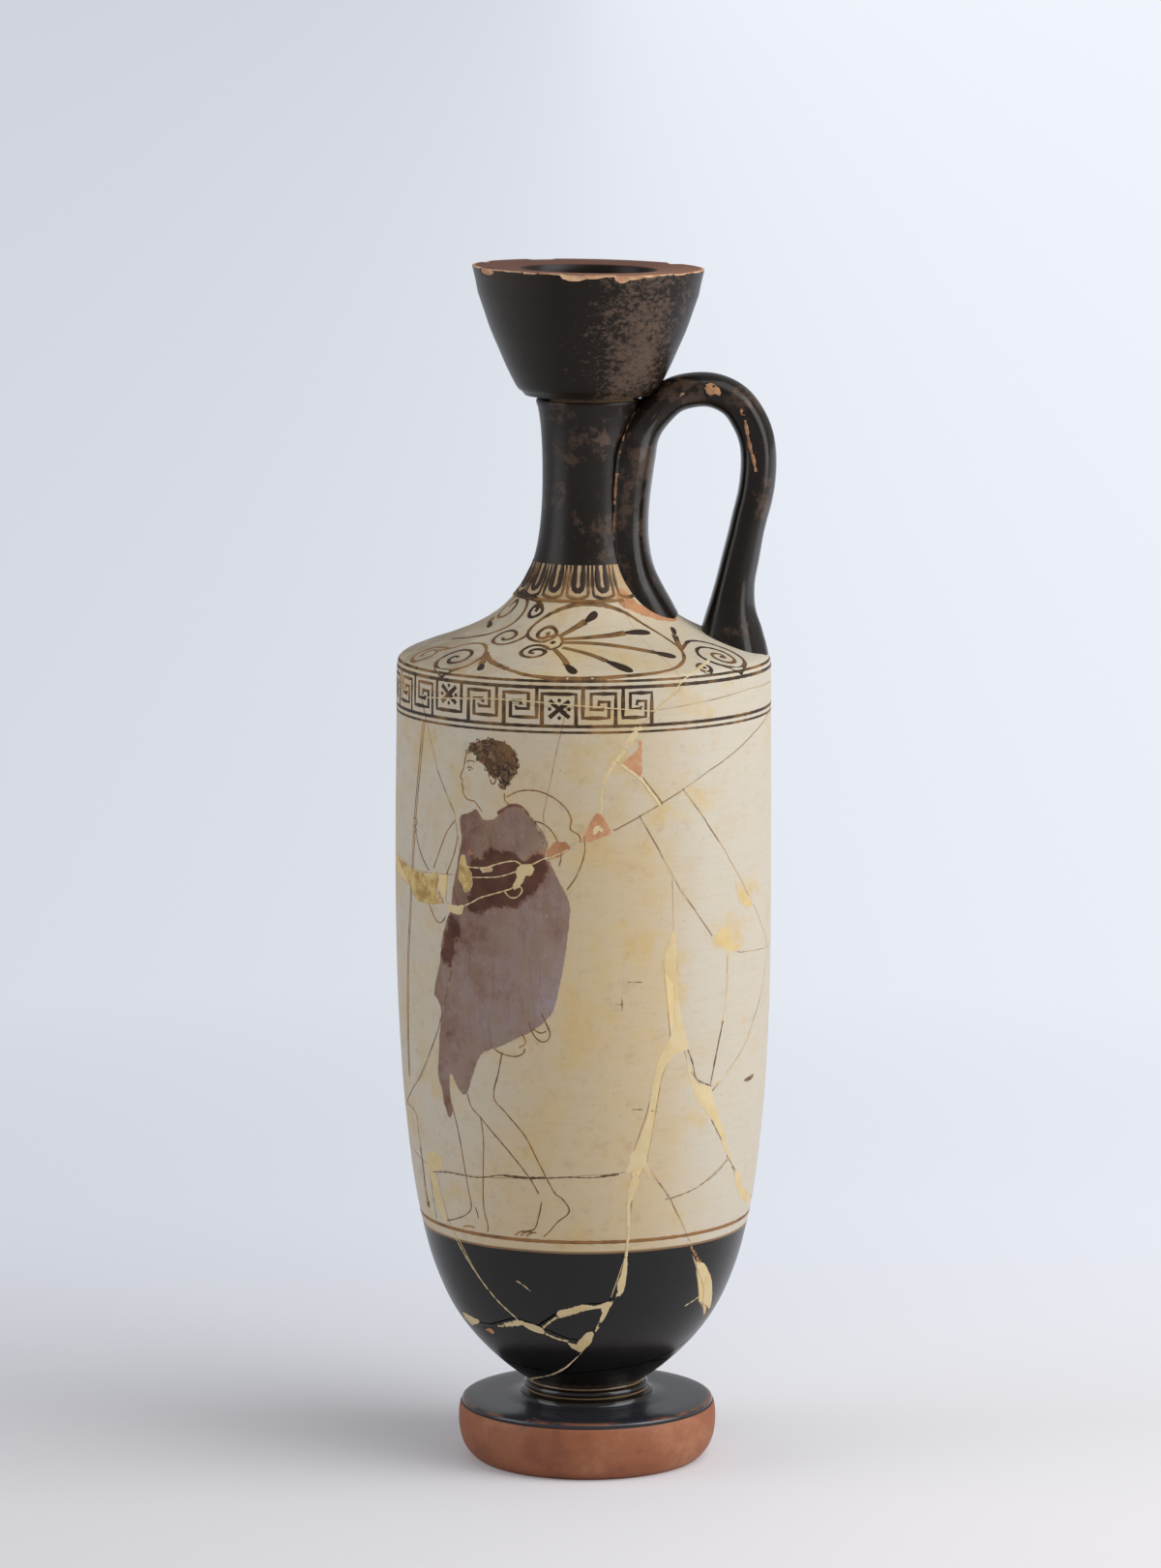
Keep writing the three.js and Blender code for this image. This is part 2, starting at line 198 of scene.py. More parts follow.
# Shader helpers
class Paint:
    """A procedural material being laid out; a value may be a number, a colour or a socket."""

    def __init__(self, name, roughness=0.5, specular=0.5):
        self.material = bpy.data.materials.new(name)
        self.material.use_nodes = True
        self.nodes = self.material.node_tree.nodes
        self.shader = self.nodes["Principled BSDF"]
        self.vector = self.nodes.new("ShaderNodeTexCoord").outputs["Object"]
        self.x, self.y, self.z = self.node("SeparateXYZ", {0: self.vector}).outputs
        self.set("Roughness", roughness)
        self.set("Specular IOR Level", specular)

    def put(self, socket, value):
        if isinstance(value, bpy.types.NodeSocket):
            self.material.node_tree.links.new(value, socket)
        elif socket.type == "RGBA":
            socket.default_value = (*colour_of(value), 1)
        else:
            socket.default_value = value

    def set(self, name, value):
        self.put(self.shader.inputs[name], value)

    def node(self, kind, values):
        node = self.nodes.new("ShaderNode" + kind)
        for key, value in values.items():
            self.put(node.inputs[key], value)
        return node

    def noise(self, scale, detail=4.0, roughness=0.55, stretch=None):
        vector = self.vector
        if stretch:
            vector = self.node("Mapping", {"Vector": vector, "Scale": stretch}).outputs[0]
        values = {"Vector": vector, "Scale": scale, "Detail": detail, "Roughness": roughness}
        return self.node("TexNoise", values).outputs["Fac"]

    def ramp(self, factor, *stops):
        node = self.node("ValToRGB", {"Fac": factor})
        node.color_ramp.interpolation = "EASE"
        elements = node.color_ramp.elements
        while len(elements) < len(stops):
            elements.new(0.5)
        for element, (place, colour) in zip(elements, stops):
            element.position = place
            element.color = (*colour_of(colour), 1)
        return node.outputs["Color"]

    def mix(self, factor, first, second):
        node = self.nodes.new("ShaderNodeMix")
        node.data_type = "RGBA"
        for index, value in ((0, factor), (6, first), (7, second)):
            self.put(node.inputs[index], value)
        return node.outputs[2]

    def over(self, base, mask, low, high, most, colour):
        """colour over base, from none where the mask is low to its most where the mask is high."""
        return self.mix(self.ramp(mask, (low, 0), (high, most)), base, colour)

    def maths(self, operation, *values):
        node = self.nodes.new("ShaderNodeMath")
        node.operation = operation
        node.use_clamp = operation == "MULTIPLY_ADD"
        for socket, value in zip(node.inputs, values):
            self.put(socket, value)
        return node.outputs[0]

    def add(self, first, second):
        return self.maths("ADD", first, second)

    def minus(self, first, second):
        return self.maths("SUBTRACT", first, second)

    def times(self, product, *others):
        for value in others:
            product = self.maths("MULTIPLY", product, value)
        return product

    def most(self, first, second):
        return self.maths("MAXIMUM", first, second)

    def scaled(self, value, by, plus):
        """value times by, plus another, kept between 0 and 1."""
        return self.maths("MULTIPLY_ADD", value, by, plus)

    def rise(self, value, edge, soft, unit=MM):
        """0 below the edge and 1 above it, over a soft width; both in millimetres unless a unit is given."""
        values = {"Value": value, "From Min": (edge - soft / 2) * unit, "From Max": (edge + soft / 2) * unit}
        return self.node("MapRange", values).outputs["Result"]

    def band(self, value, low, high, soft, unit=MM):
        """1 between low and high, fading over a soft width outside."""
        return self.minus(self.rise(value, low, soft, unit), self.rise(value, high, soft, unit))

    def attribute(self, name):
        node = self.nodes.new("ShaderNodeAttribute")
        node.attribute_name = name
        return node.outputs["Fac"]

    def bump(self, height, strength, distance):
        values = {"Height": height, "Strength": strength, "Distance": distance * MM}
        self.set("Normal", self.node("Bump", values).outputs["Normal"])

    def turned_grain(self, grain, ridges, strength=0.3, distance=0.12):
        """Fine grain, and the marks of turning round the axis."""
        marks = self.noise(ridges, 2, 0.5, (0.05, 0.05, 1))
        self.bump(self.add(self.noise(grain), marks), strength, distance)


def colour_of(value):
    return value if isinstance(value, tuple) else (value, value, value)


# Colours, linear
SLIP_WHITE = (0.485, 0.437, 0.352)
SLIP_TAN = (0.49, 0.388, 0.245)
SLIP_YELLOW = (0.50, 0.355, 0.145)
SLIP_STAIN = (0.33, 0.225, 0.125)
# grey-brown of the painted shade on the shoulder's left
SHOULDER_SHADE_GREY = (0.25, 0.205, 0.15)
SLIP_SPECK = (0.24, 0.14, 0.06)
TONGUE_TAN = (0.36, 0.235, 0.12)
EDGE_BROWN = (0.20, 0.11, 0.045)
GLOSS_BLACK = (0.0095, 0.0062, 0.0042)
BOWL_BLACK = (0.0080, 0.0072, 0.0066)
GLOSS_BROWN = (0.050, 0.030, 0.019)
FILL_CREAM = (0.62, 0.48, 0.25)
FILL_YELLOW = (0.60, 0.44, 0.19)

black_top = 73.6


def slip_colour(p):
    """Whiter towards the handle and the top, yellow and stained elsewhere, tan under the tongue pattern;
    painted shade clouds the shoulder's left towards grey-brown.
    """
    right = p.rise(p.x, 28, 26)
    left = p.minus(0.6, p.times(p.rise(p.x, -20, 30), 0.6))
    top = p.times(p.rise(p.z, 212, 60), 0.55)
    pale = p.minus(p.most(p.most(right, top), left), 0.62)
    pale = p.scaled(p.noise(16, 4, 0.6), 1.3, pale)
    base = p.mix(p.ramp(pale, (0.1, 0), (0.9, 1)), SLIP_TAN, SLIP_WHITE)
    blotch = p.minus(p.noise(60, 6, 0.68), p.times(right, 0.09))
    base = p.over(base, blotch, 0.46, 0.68, 0.62, SLIP_YELLOW)
    fine = p.minus(p.noise(210, 6, 0.72), p.times(right, 0.05))
    base = p.over(base, fine, 0.50, 0.72, 0.34, SLIP_STAIN)
    brushed = p.noise(800, 4, 0.7, (0.12, 0.12, 1))
    base = p.over(base, brushed, 0.42, 0.72, 0.12, SLIP_STAIN)
    # Painted shade: the shoulder's left side, turned from the light, is clouded towards grey-brown
    shoulder = p.times(p.minus(1.0, p.rise(p.x, -26, 34)), p.rise(p.z, 247.5, 3))
    cloudy = p.ramp(p.noise(120, 5, 0.7), (0.3, 0.3), (0.6, 0.8))
    base = p.mix(p.times(shoulder, cloudy), base, SHOULDER_SHADE_GREY)
    base = p.mix(p.times(p.rise(p.z, 266.9, 0.5), 0.8), base, TONGUE_TAN)
    return p.over(base, p.noise(900, 2, 0.5), 0.72, 0.77, 0.55, SLIP_SPECK)


# Yellowed places in the slip: right of the axis and height of the middle, half width, half height
stains = [(24, 206, 10, 6), (33, 211, 10, 8), (43, 169, 10, 9), (49, 181, 6, 7), (26, 160, 7, 22),
          (17, 167, 6, 14), (11.5, 174, 3.5, 3.5), (-53, 242, 6, 8), (12, 222, 8, 9), (-4, 150, 9, 20)]


def nearness(p, spots):
    """1 in the middle of each spot, 0 at its edge and less beyond."""
    near = -1.0
    for right, up, wide, tall in spots:
        away = 0.0
        for value, middle, reach in ((p.x, right, wide), (p.z, up, tall)):
            off = p.maths("DIVIDE", p.minus(value, middle * MM), reach * MM)
            away = p.add(away, p.times(off, off))
        near = p.most(near, p.minus(1.0, away))
    return near


def gloss_colour(p, worn_from=0.62, spots=(), black=GLOSS_BLACK):
    worn = p.scaled(p.noise(260, 5, 0.65), 0.45, p.times(p.noise(60, 6, 0.7), 0.55))
    if spots:
        worn = p.add(worn, p.most(p.times(nearness(p, spots), 0.10), 0.0))
    return p.ramp(worn, (0.0, black), (worn_from - 0.08, black), (worn_from, GLOSS_BROWN))


def wall_colour(p):
    """Black gloss low down, then a brown edge line and the stained slip; also gives 1 above the line."""
    level = p.add(p.z, p.times(p.noise(45, 2), 0.5 * MM))
    above = p.rise(level, black_top + 0.2, 0.3)
    edge = p.band(level, black_top + 0.1, black_top + 0.75, 0.35)
    stain = p.minus(p.times(nearness(p, stains), 0.5), 0.95)
    stain = p.add(p.times(p.noise(170, 6, 0.72), 1.5), stain)
    slip = p.over(slip_colour(p), stain, 0.0, 0.5, 0.7, SLIP_YELLOW)
    colour = p.mix(above, gloss_colour(p, 0.72, black=BOWL_BLACK), slip)
    return p.mix(edge, colour, EDGE_BROWN), above


def wall_material():
    p = Paint("wall_slips", specular=0.3)
    colour, above = wall_colour(p)
    p.set("Base Color", colour)
    p.set("Roughness", p.scaled(above, 0.27, 0.27))
    p.turned_grain(500, 260, 0.25, 0.10)
    return p.material


def worn_cover(p, ragged, soft):
    """1 inside a painted area and 0 past its frayed edge; both widths are millimetres."""
    fray = p.noise(300 / max(ragged, 0.3) ** 0.5, 6, 0.7)
    depth = p.add(p.attribute("depth"), p.times(p.minus(fray, 0.5), 2 * ragged))
    return p.rise(depth, 0.45 * ragged + soft / 2, soft, 1)


def handle_material():
    wear = [(54, 297, 4.5, 11), (17, 308, 6, 12), (27, 328, 12, 6), (48, 326, 8, 6), (12, 298, 3, 12)]
    p = Paint("handle_gloss", specular=0.27)
    p.set("Base Color", gloss_colour(p, 0.635, wear))
    p.set("Roughness", p.ramp(p.noise(90, 5), (0.35, 0.17), (0.7, 0.32)))
    p.turned_grain(420, 300)
    return p.material


def plaster_material():
    p = Paint("plaster", 0.8)
    p.set("Base Color", p.ramp(p.noise(70, 5, 0.65), (0.35, FILL_YELLOW), (0.65, FILL_CREAM)))
    p.bump(p.noise(700, 5), 0.4, 0.15)
    return p.material


def line_material(name, pale, deep, low, high):
    """Dilute slip that runs from pale to deep along the strokes."""
    p = Paint(name, 0.5, 0.22)
    total = p.add(p.noise(110, 3, 0.6), p.attribute("tone"))
    p.set("Base Color", p.ramp(total, (low, pale), (high, deep)))
    return p.material


def wash_material(name, light, dark, scale, worn, ragged, soft, on_gloss=False):
    """Matt paint or filler, clouded, worn through in places and frayed at its edge."""
    p = Paint(name, specular=0.25)
    colour = p.ramp(p.noise(scale, 7, 0.7), (0.36, dark), (0.62, light))
    cover = worn_cover(p, ragged, soft)
    if worn:
        gaps = p.ramp(p.noise(320, 6, 0.75), (0.58, 0), (0.68, worn))
        cover = p.times(cover, p.minus(1.0, gaps))
    under = gloss_colour(p) if on_gloss else wall_colour(p)[0]
    p.set("Base Color", p.mix(cover, under, colour))
    p.set("Roughness", p.scaled(cover, 0.25, 0.45))
    p.bump(p.noise(700), 0.2, 0.1)
    return p.material


def cloak_material():
    """Matt mauve wash: reddish above, grey and bluish lower, lighter and bluer to the right as a painted
    sheen, with dark maroon folds.
    """
    p = Paint("cloak_mauve", 0.75, 0.25)
    # Painted sheen: the wash is pushed lighter and bluer towards the right
    right_sheen = p.times(p.rise(p.x, -20, 36), 0.15)
    warm = p.times(p.rise(p.z, 176, 30), 0.11)
    cloud = p.add(p.noise(75, 7, 0.72), p.minus(right_sheen, warm))
    colour = p.ramp(cloud, (0.32, (0.145, 0.066, 0.048)), (0.46, (0.200, 0.122, 0.100)),
                    (0.58, (0.240, 0.172, 0.150)), (0.74, (0.270, 0.225, 0.232)))
    streak = p.noise(420, 4, 0.65, (1, 1, 0.12))
    colour = p.over(colour, streak, 0.5, 0.72, 0.55, (0.150, 0.090, 0.070))
    rose = p.ramp(p.noise(190, 6, 0.7), (0.53, 0), (0.66, 0.62))
    colour = p.mix(p.times(rose, p.rise(p.z, 180, 50)), colour, (0.25, 0.095, 0.062))
    ochre = p.noise(150, 7, 0.75, (1, 1, 0.5))
    colour = p.over(colour, ochre, 0.42, 0.62, 0.62, (0.235, 0.160, 0.108))
    colour = p.over(colour, p.noise(420, 6, 0.75), 0.62, 0.74, 0.5, SLIP_TAN)
    fold = p.attribute("fold")
    fray = p.times(p.minus(p.noise(210, 6, 0.75), 0.5), 1.1)
    shade = p.add(p.scaled(fold, 0.12, 0.5), fray)
    maroon = p.ramp(cloud, (0.3, (0.052, 0.016, 0.008)), (0.6, (0.100, 0.038, 0.022)))
    colour = p.over(colour, shade, 0.44, 0.60, 0.95, maroon)
    scratched = p.ramp(p.noise(330, 6, 0.75, (0.6, 0.6, 1)), (0.50, 0), (0.60, 0.85))
    scratched = p.times(scratched, p.band(fold, -1.6, 0.6, 1.0, 1), p.rise(p.z, 187, 6))
    colour = p.mix(scratched, colour, (0.34, 0.165, 0.09))
    p.set("Base Color", p.mix(worn_cover(p, 0.4, 0.2), wall_colour(p)[0], colour))
    p.bump(p.noise(700), 0.2, 0.1)
    return p.material


MAUVE = cloak_material()
WALL = wall_material()
HANDLE_GLOSS = handle_material()
PLASTER = plaster_material()
LINES = line_material("painted_lines", (0.21, 0.108, 0.036), (0.030, 0.017, 0.009), 0.38, 0.65)
CONTOUR = line_material("contour_lines", (0.27, 0.140, 0.040), (0.125, 0.064, 0.020), 0.4, 0.62)
SEAM = line_material("adhesive", (0.44, 0.33, 0.19), (0.23, 0.145, 0.078), 0.44, 0.66)
BASE_LINE = line_material("base_line_slip", (0.24, 0.115, 0.04), (0.09, 0.045, 0.022), 0.40, 0.70)
MAROON = wash_material("cloak_maroon", (0.200, 0.085, 0.052), (0.090, 0.034, 0.020), 190, 0.7, 0.4, 0.3)
HAIR = wash_material("hair_wash", (0.19, 0.105, 0.05), (0.085, 0.045, 0.024), 220, 0.0, 0.25, 0.15)
PINK_LOSS = wash_material("bare_loss", (0.51, 0.275, 0.145), (0.40, 0.19, 0.092), 160, 0.7, 1.0, 0.15)
ORANGE_WASH = wash_material("bare_clay", (0.42, 0.21, 0.10), (0.32, 0.14, 0.065), 120, 0.45, 0.6, 0.4)
CHIP_CLAY = wash_material("chipped_clay", (0.46, 0.25, 0.13), (0.28, 0.13, 0.06), 500, 0.0, 0.35, 0.1, True)
CREAM_FILL = wash_material("cream_fill", (0.57, 0.46, 0.27), (0.53, 0.40, 0.20), 110, 0.0, 0.2, 0.08)
YELLOW_FILL = wash_material("yellow_fill", (0.55, 0.43, 0.23), (0.51, 0.36, 0.14), 120, 0.4, 0.7, 0.6)
OLD_FILL = wash_material("old_fill", (0.56, 0.42, 0.17), (0.32, 0.195, 0.06), 260, 0.12, 0.3, 0.1)
DARK_TRACE = wash_material("dark_trace", (0.19, 0.115, 0.06), (0.06, 0.036, 0.022), 260, 0.6, 0.12, 0.05)


def finish_piece(piece, material, smooth_angle=40.0):
    piece.data.materials.clear()
    piece.data.materials.append(material)
    bm = bmesh.new()
    bm.from_mesh(piece.data)
    limit = math.radians(smooth_angle)
    for face in bm.faces:
        face.smooth = True
    for edge in bm.edges:
        edge.smooth = edge.is_boundary or edge.calc_face_angle(0.0) < limit
    bm.to_mesh(piece.data)
    bm.free()
    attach(piece, BODY)


def object_from(bm, name):
    mesh = bpy.data.meshes.new(name)
    bm.to_mesh(mesh)
    bm.free()
    piece = bpy.data.objects.new(name, mesh)
    bpy.context.scene.collection.objects.link(piece)
    return piece


# Wall pieces: each sherd's solid, cut finer and brought out to the true round wall
def facet_radius(z, turn):
    across = (math.degrees(turn) % facet) - facet / 2
    return between(cad_wall, z) * math.cos(math.radians(facet / 2)) / math.cos(math.radians(across))


def cut_by(bm, place, normal, dist=1e-7):
    geometry = bm.verts[:] + bm.edges[:] + bm.faces[:]
    bmesh.ops.bisect_plane(bm, geom=geometry, plane_co=place, plane_no=normal, dist=dist)


def refine(bm):
    """Cuts the piece along meridians and levels, closer together where the outline curves."""
    lows = Vector((min(v.co[i] for v in bm.verts) for i in range(3)))
    highs = Vector((max(v.co[i] for v in bm.verts) for i in range(3)))
    for k in range(72):
        turn = math.radians(2.5 * k)
        normal = Vector((-math.sin(turn), math.cos(turn), 0))
        sides = [normal.x * x + normal.y * y for x in (lows.x, highs.x) for y in (lows.y, highs.y)]
        if min(sides) < 0 < max(sides):
            cut_by(bm, (0, 0, 0), normal)
    level = body_base
    while level < neck_seat:
        if lows.z < level * MM < highs.z:
            cut_by(bm, (0, 0, level * MM), (0, 0, 1))
        level += 2.5 if level < 70 else (10.0 if level < 236 else 1.2)


# Breaks where the adhesive has darkened: from and to in degrees right of the front, and in height
dark_breaks = [(-4, 78, 196, 233), (33, 43, 165, 180), (22, 32, 80, 96), (43, 51, 118, 136), (8, 45, 46, 53)]
# Tight breaks with no adhesive in sight, in the same terms
tight_breaks = [(-75, 80, 24, 42), (-60, 16, 42, 60)]
# Glue lines: width and depth under the surface, and the tone of darkened and of pale adhesive
seam_width = 0.34
seam_depth = 0.04
dark_tone = 0.12
pale_tone = -0.02


def within(areas, degrees, z):
    degrees = (degrees + 180) % 360 - 180
    return any(a < degrees < b and c < z < d for a, b, c, d in areas)


def wall_piece(node, seams):
    bm = bmesh.new()
    bm.from_mesh(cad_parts[node].data)
    bm.transform(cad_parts[node].matrix_world)
    bmesh.ops.remove_doubles(bm, verts=bm.verts, dist=1e-6)
    refine(bm)
    for vertex in bm.verts:
        z = vertex.co.z / MM
        if z <= body_base + 0.01:
            continue
        turn = math.atan2(vertex.co.y, vertex.co.x)
        scale = wall_radius(z) / facet_radius(z, turn)
        vertex.co.x *= scale
        vertex.co.y *= scale
    bm.normal_update()
    straight = {vertex: vertex.co.copy() for vertex in bm.verts}
    for edge in bm.edges:
        if len(edge.link_faces) != 2:
            continue
        ends = [straight[vertex] for vertex in edge.verts]
        middle = (ends[0] + ends[1]) / 2
        z = middle.z / MM
        turn = math.atan2(middle.y, middle.x)
        if math.hypot(middle.x, middle.y) < (wall_radius(z) - 0.25) * MM or z < body_base + 1:
            continue
        outward = surface_normal(z, turn)
        dots = [face.normal.dot(outward) for face in edge.link_faces]
        if max(dots) > 0.9 and min(dots) < 0.45:
            broken = edge.link_faces[dots.index(min(dots))].normal
            across = (broken - outward * broken.dot(outward)).normalized()
            sunk = outward * seam_depth * MM
            degrees = math.degrees(turn) - FRONT
            if within(tight_breaks, degrees, z):
                continue
            tone = dark_tone if within(dark_breaks, degrees, z) else pale_tone
            seams.append((leaned(ends[0] - sunk), leaned(ends[1] - sunk), across * seam_width * MM, tone))
    for vertex, place in straight.items():
        vertex.co = leaned(place)
    return object_from(bm, "wall_" + node)


def build_wall():
    seams = []
    for node in sorted(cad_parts):
        if not node.startswith(("sherd_", "fill_")):
            continue
        is_fill = node.startswith("fill_")
        piece = wall_piece(node, seams)
        finish_piece(piece, PLASTER if is_fill else WALL)
        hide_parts(node)
    bm = bmesh.new()
    layer = bm.verts.layers.float.new("tone")
    for start, end, across, tone in seams:
        corners = [bm.verts.new(co) for co in (start, end, end + across, start + across)]
        for corner in corners:
            corner[layer] = tone
        bm.faces.new(corners)
    piece = object_from(bm, "adhesive_seams")
    finish_piece(piece, SEAM)


# Turned pieces
def turned(name, profile, steps, shape=None):
    """profile: closed list of (radius, height); shape(turn, radius, height) may move a point."""
    bm = bmesh.new()
    rings = []
    for radius, height in profile:
        if radius < 1e-6:
            rings.append([bm.verts.new(leaned(Vector((0, 0, height * MM))))] * steps)
            continue
        ring = []
        for k in range(steps):
            turn = 2 * math.pi * k / steps
            r, z = shape(turn, radius, height) if shape else (radius, height)
            ring.append(bm.verts.new(leaned(Vector((r * math.cos(turn), r * math.sin(turn), z)) * MM)))
        rings.append(ring)
    closed = profile[0][0] > 1e-6
    pairs = list(zip(rings, rings[1:] + rings[:1])) if closed else list(zip(rings, rings[1:]))
    for low, high in pairs:
        for k in range(steps):
            corners = []
            for corner in (low[k], low[(k + 1) % steps], high[(k + 1) % steps], high[k]):
                if corner not in corners:
                    corners.append(corner)
            if len(corners) > 2:
                bm.faces.new(corners)
    bmesh.ops.recalc_face_normals(bm, faces=bm.faces)
    return object_from(bm, name)


def curve_through(points, count):
    """Evenly spread points on a smooth curve through the given ones."""
    dense = []
    for i in range(len(points) - 1):
        p0 = points[max(i - 1, 0)]
        p1, p2 = points[i], points[i + 1]
        p3 = points[min(i + 2, len(points) - 1)]
        for k in range(12):
            t = k / 12
            place = []
            for a, b, c, d in zip(p0, p1, p2, p3):
                square, cube = 2 * a - 5 * b + 4 * c - d, 3 * b - a - 3 * c + d
                place.append(0.5 * (2 * b + (c - a) * t + square * t**2 + cube * t**3))
            dense.append(tuple(place))
    dense.append(tuple(points[-1]))
    lengths = [0.0]
    for a, b in zip(dense, dense[1:]):
        lengths.append(lengths[-1] + math.dist(a, b))
    even = []
    j = 0
    for k in range(count):
        want = lengths[-1] * k / (count - 1)
        while j < len(lengths) - 2 and lengths[j + 1] < want:
            j += 1
        span = lengths[j + 1] - lengths[j]
        t = (want - lengths[j]) / span if span else 0
        even.append(tuple(a + (b - a) * t for a, b in zip(dense[j], dense[j + 1])))
    return even


# Chips on the rim: middle in degrees right of the front, half width in degrees, depth, height
chips = [
    (-7, 7, 0.9, 2.2), (1, 8, 0.5, 1.6), (9.5, 5, 0.35, 0.9), (17, 4, 1, 2.6), (22.5, 6, 0.6, 1.7),
    (30.5, 6, 0.4, 1.2), (38.5, 5, 0.25, 0.7), (-61, 7, 0.4, 2.3), (-30, 5, 0.25, 0.8), (52, 6, 0.3, 0.9),
    (130, 5, 0.7, 2), (205, 8, 0.5, 1.3), (246, 4, 0.8, 2.2),
]
rim_tilt = math.tan(math.radians(1.1))


def chip_depth(turn, height):
    degrees = math.degrees(turn) - FRONT
    depth = 0.0
    for middle, half, most, tall in chips:
        off = abs((degrees - middle + 180) % 360 - 180) / half
        down = (rim - height) / (tall * (1 - 0.35 * off * off)) if off < 1 else 2
        if off < 1 and down < 1:
            depth = max(depth, most * (1 - off**4) * (1 - down**3))
    return depth


def mouth_material():
    """Black gloss, worn brown at one side, and a lighter brown-black on the left that is a painted highlight
    over the gloss's brownish tone; bare clay on the top ring and in the chips.
    """
    p = Paint("mouth_slips", specular=0.2)
    turn = p.maths("ARCTAN2", p.y, p.x)
    off = p.maths("ABSOLUTE", p.minus(turn, math.radians(FRONT + 36)))
    side = p.ramp(off, (0.10, 1), (1.05, 0))
    fine = p.noise(620, 5, 0.8, (0.75, 0.75, 1.25))
    cloud = p.scaled(fine, 0.68, p.times(p.noise(80, 6, 0.7), 0.32))
    cloud = p.minus(cloud, p.times(p.rise(p.z, 350, 30), 0.05))
    reach = p.scaled(side, 0.17, p.minus(cloud, 0.11))
    brown = p.ramp(reach, (0.525, (0.055, 0.035, 0.024)), (0.60, (0.092, 0.059, 0.041)))
    # Painted highlight: the black turns a lighter brown-black on the left, where the gloss catches the light
    dark = p.mix(p.rise(p.x, -17, 18), (0.027, 0.021, 0.015), GLOSS_BLACK)
    colour = p.mix(p.ramp(reach, (0.49, 0), (0.525, 1)), dark, brown)
    bare = p.ramp(p.scaled(p.noise(400), 0.5, p.attribute("bare")), (0.68, 0), (0.72, 1))
    clay = p.ramp(p.noise(220, 5), (0.35, (0.36, 0.185, 0.10)), (0.65, (0.56, 0.36, 0.21)))
    colour = p.mix(bare, colour, clay)
    top = p.mix(p.rise(p.minus(p.x, p.y), 25, 50), (0.125, 0.055, 0.036), (0.25, 0.12, 0.075))
    radius = p.attribute("radius")
    ring = p.times(p.rise(radius, 20.75, 0.3, 1), p.rise(p.z, rim - 2.6, 0.5))
    ring = p.times(ring, p.minus(1.0, p.rise(radius, 34.0, 0.6, 1)))
    p.set("Base Color", p.mix(ring, colour, top))
    p.set("Roughness", p.scaled(side, 0.08, p.mix(p.most(bare, ring), 0.34, 0.7)))
    p.turned_grain(420, 330)
    return p.material


def build_mouth():
    drop = [0.0, 0.25, 0.55, 0.9, 1.3, 1.7, 2.1, 2.6, 3.2, 4.0]
    outer = [(19.0, mouth_seat + 0.1), (20.2, 327.9), (21.6, 329.2), (24.4, 334.6), (27.0, 340.5),
             (29.5, 346.3), (31.5, 352.1), (33.2, 357.0)]
    outer = curve_through(outer, 40)
    outer += [(34.9 - 0.24 * d, rim - 0.15 - d) for d in reversed(drop) if d > 0]
    top = [(34.8, rim - 0.1), (34.4, rim), (33.6, rim), (31.0, rim), (28.0, rim - 0.15), (24.5, rim - 0.3),
           (21.0, rim - 0.6), (20.8, rim - 0.65)]
    inner = curve_through([(20.6, rim - 1.0), (20.1, rim - 2.2), (19.4, 356.0), (17.5, 350.0), (15.0, 344.0),
                           (12.2, 338.0), (9.8, 332.0), (bore, mouth_seat)], 30)
    profile = [(bore, mouth_seat), (18.2, mouth_seat)] + outer + top + inner[:-1]

    def shape(turn, radius, height):
        lower = rim_tilt * radius * math.cos(turn) * (height - mouth_seat) / (rim - mouth_seat)
        cut = chip_depth(turn, height) if height > rim - 5 and radius > 31 else 0
        return radius - cut, height - lower - (cut * 0.6 if height > rim - 0.3 else 0)

    steps = 480
    piece = turned("mouth_calyx", profile, steps, shape)
    bare = piece.data.attributes.new("bare", "FLOAT", "POINT")
    reach = piece.data.attributes.new("radius", "FLOAT", "POINT")
    for index in range(len(piece.data.vertices)):
        radius, height = profile[index // steps]
        reach.data[index].value = radius
        if height > rim - 5 and radius > 30:
            depth = chip_depth(2 * math.pi * (index % steps) / steps, height)
            lip = max(0.0, 1 - (rim - height) / 1.1)
            bare.data[index].value = min(1.0, depth * 3) if depth > 0.05 else lip * 0.66
    finish_piece(piece, mouth_material())
    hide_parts("mouth")


neck_outline = [
    (264, 23.6), (267, 21), (270, 18.7), (272.8, 17.2), (275.6, 16.1), (280, 14.9), (286, 14), (293, 13.5),
    (300, 13.4), (309, 13.6), (316.5, 14.1), (321, 14.7),
]


def build_neck():
    outer = curve_through([(radius, z) for z, radius in neck_outline[2:]], 60)
    ridge = [(15.1, 323.0), (15.5, 324.0), (15.7, 324.8), (15.4, 325.5), (15.0, 325.8), (14.7, 326.1)]
    ridge.append((14.6, mouth_seat))
    profile = [(spigot_radius, spigot_base), (spigot_radius, 270.0)] + outer + ridge
    profile += [(bore, mouth_seat), (bore, spigot_base)]
    piece = turned("neck_tube", profile, 180)
    finish_piece(piece, neck_material())
    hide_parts("neck")


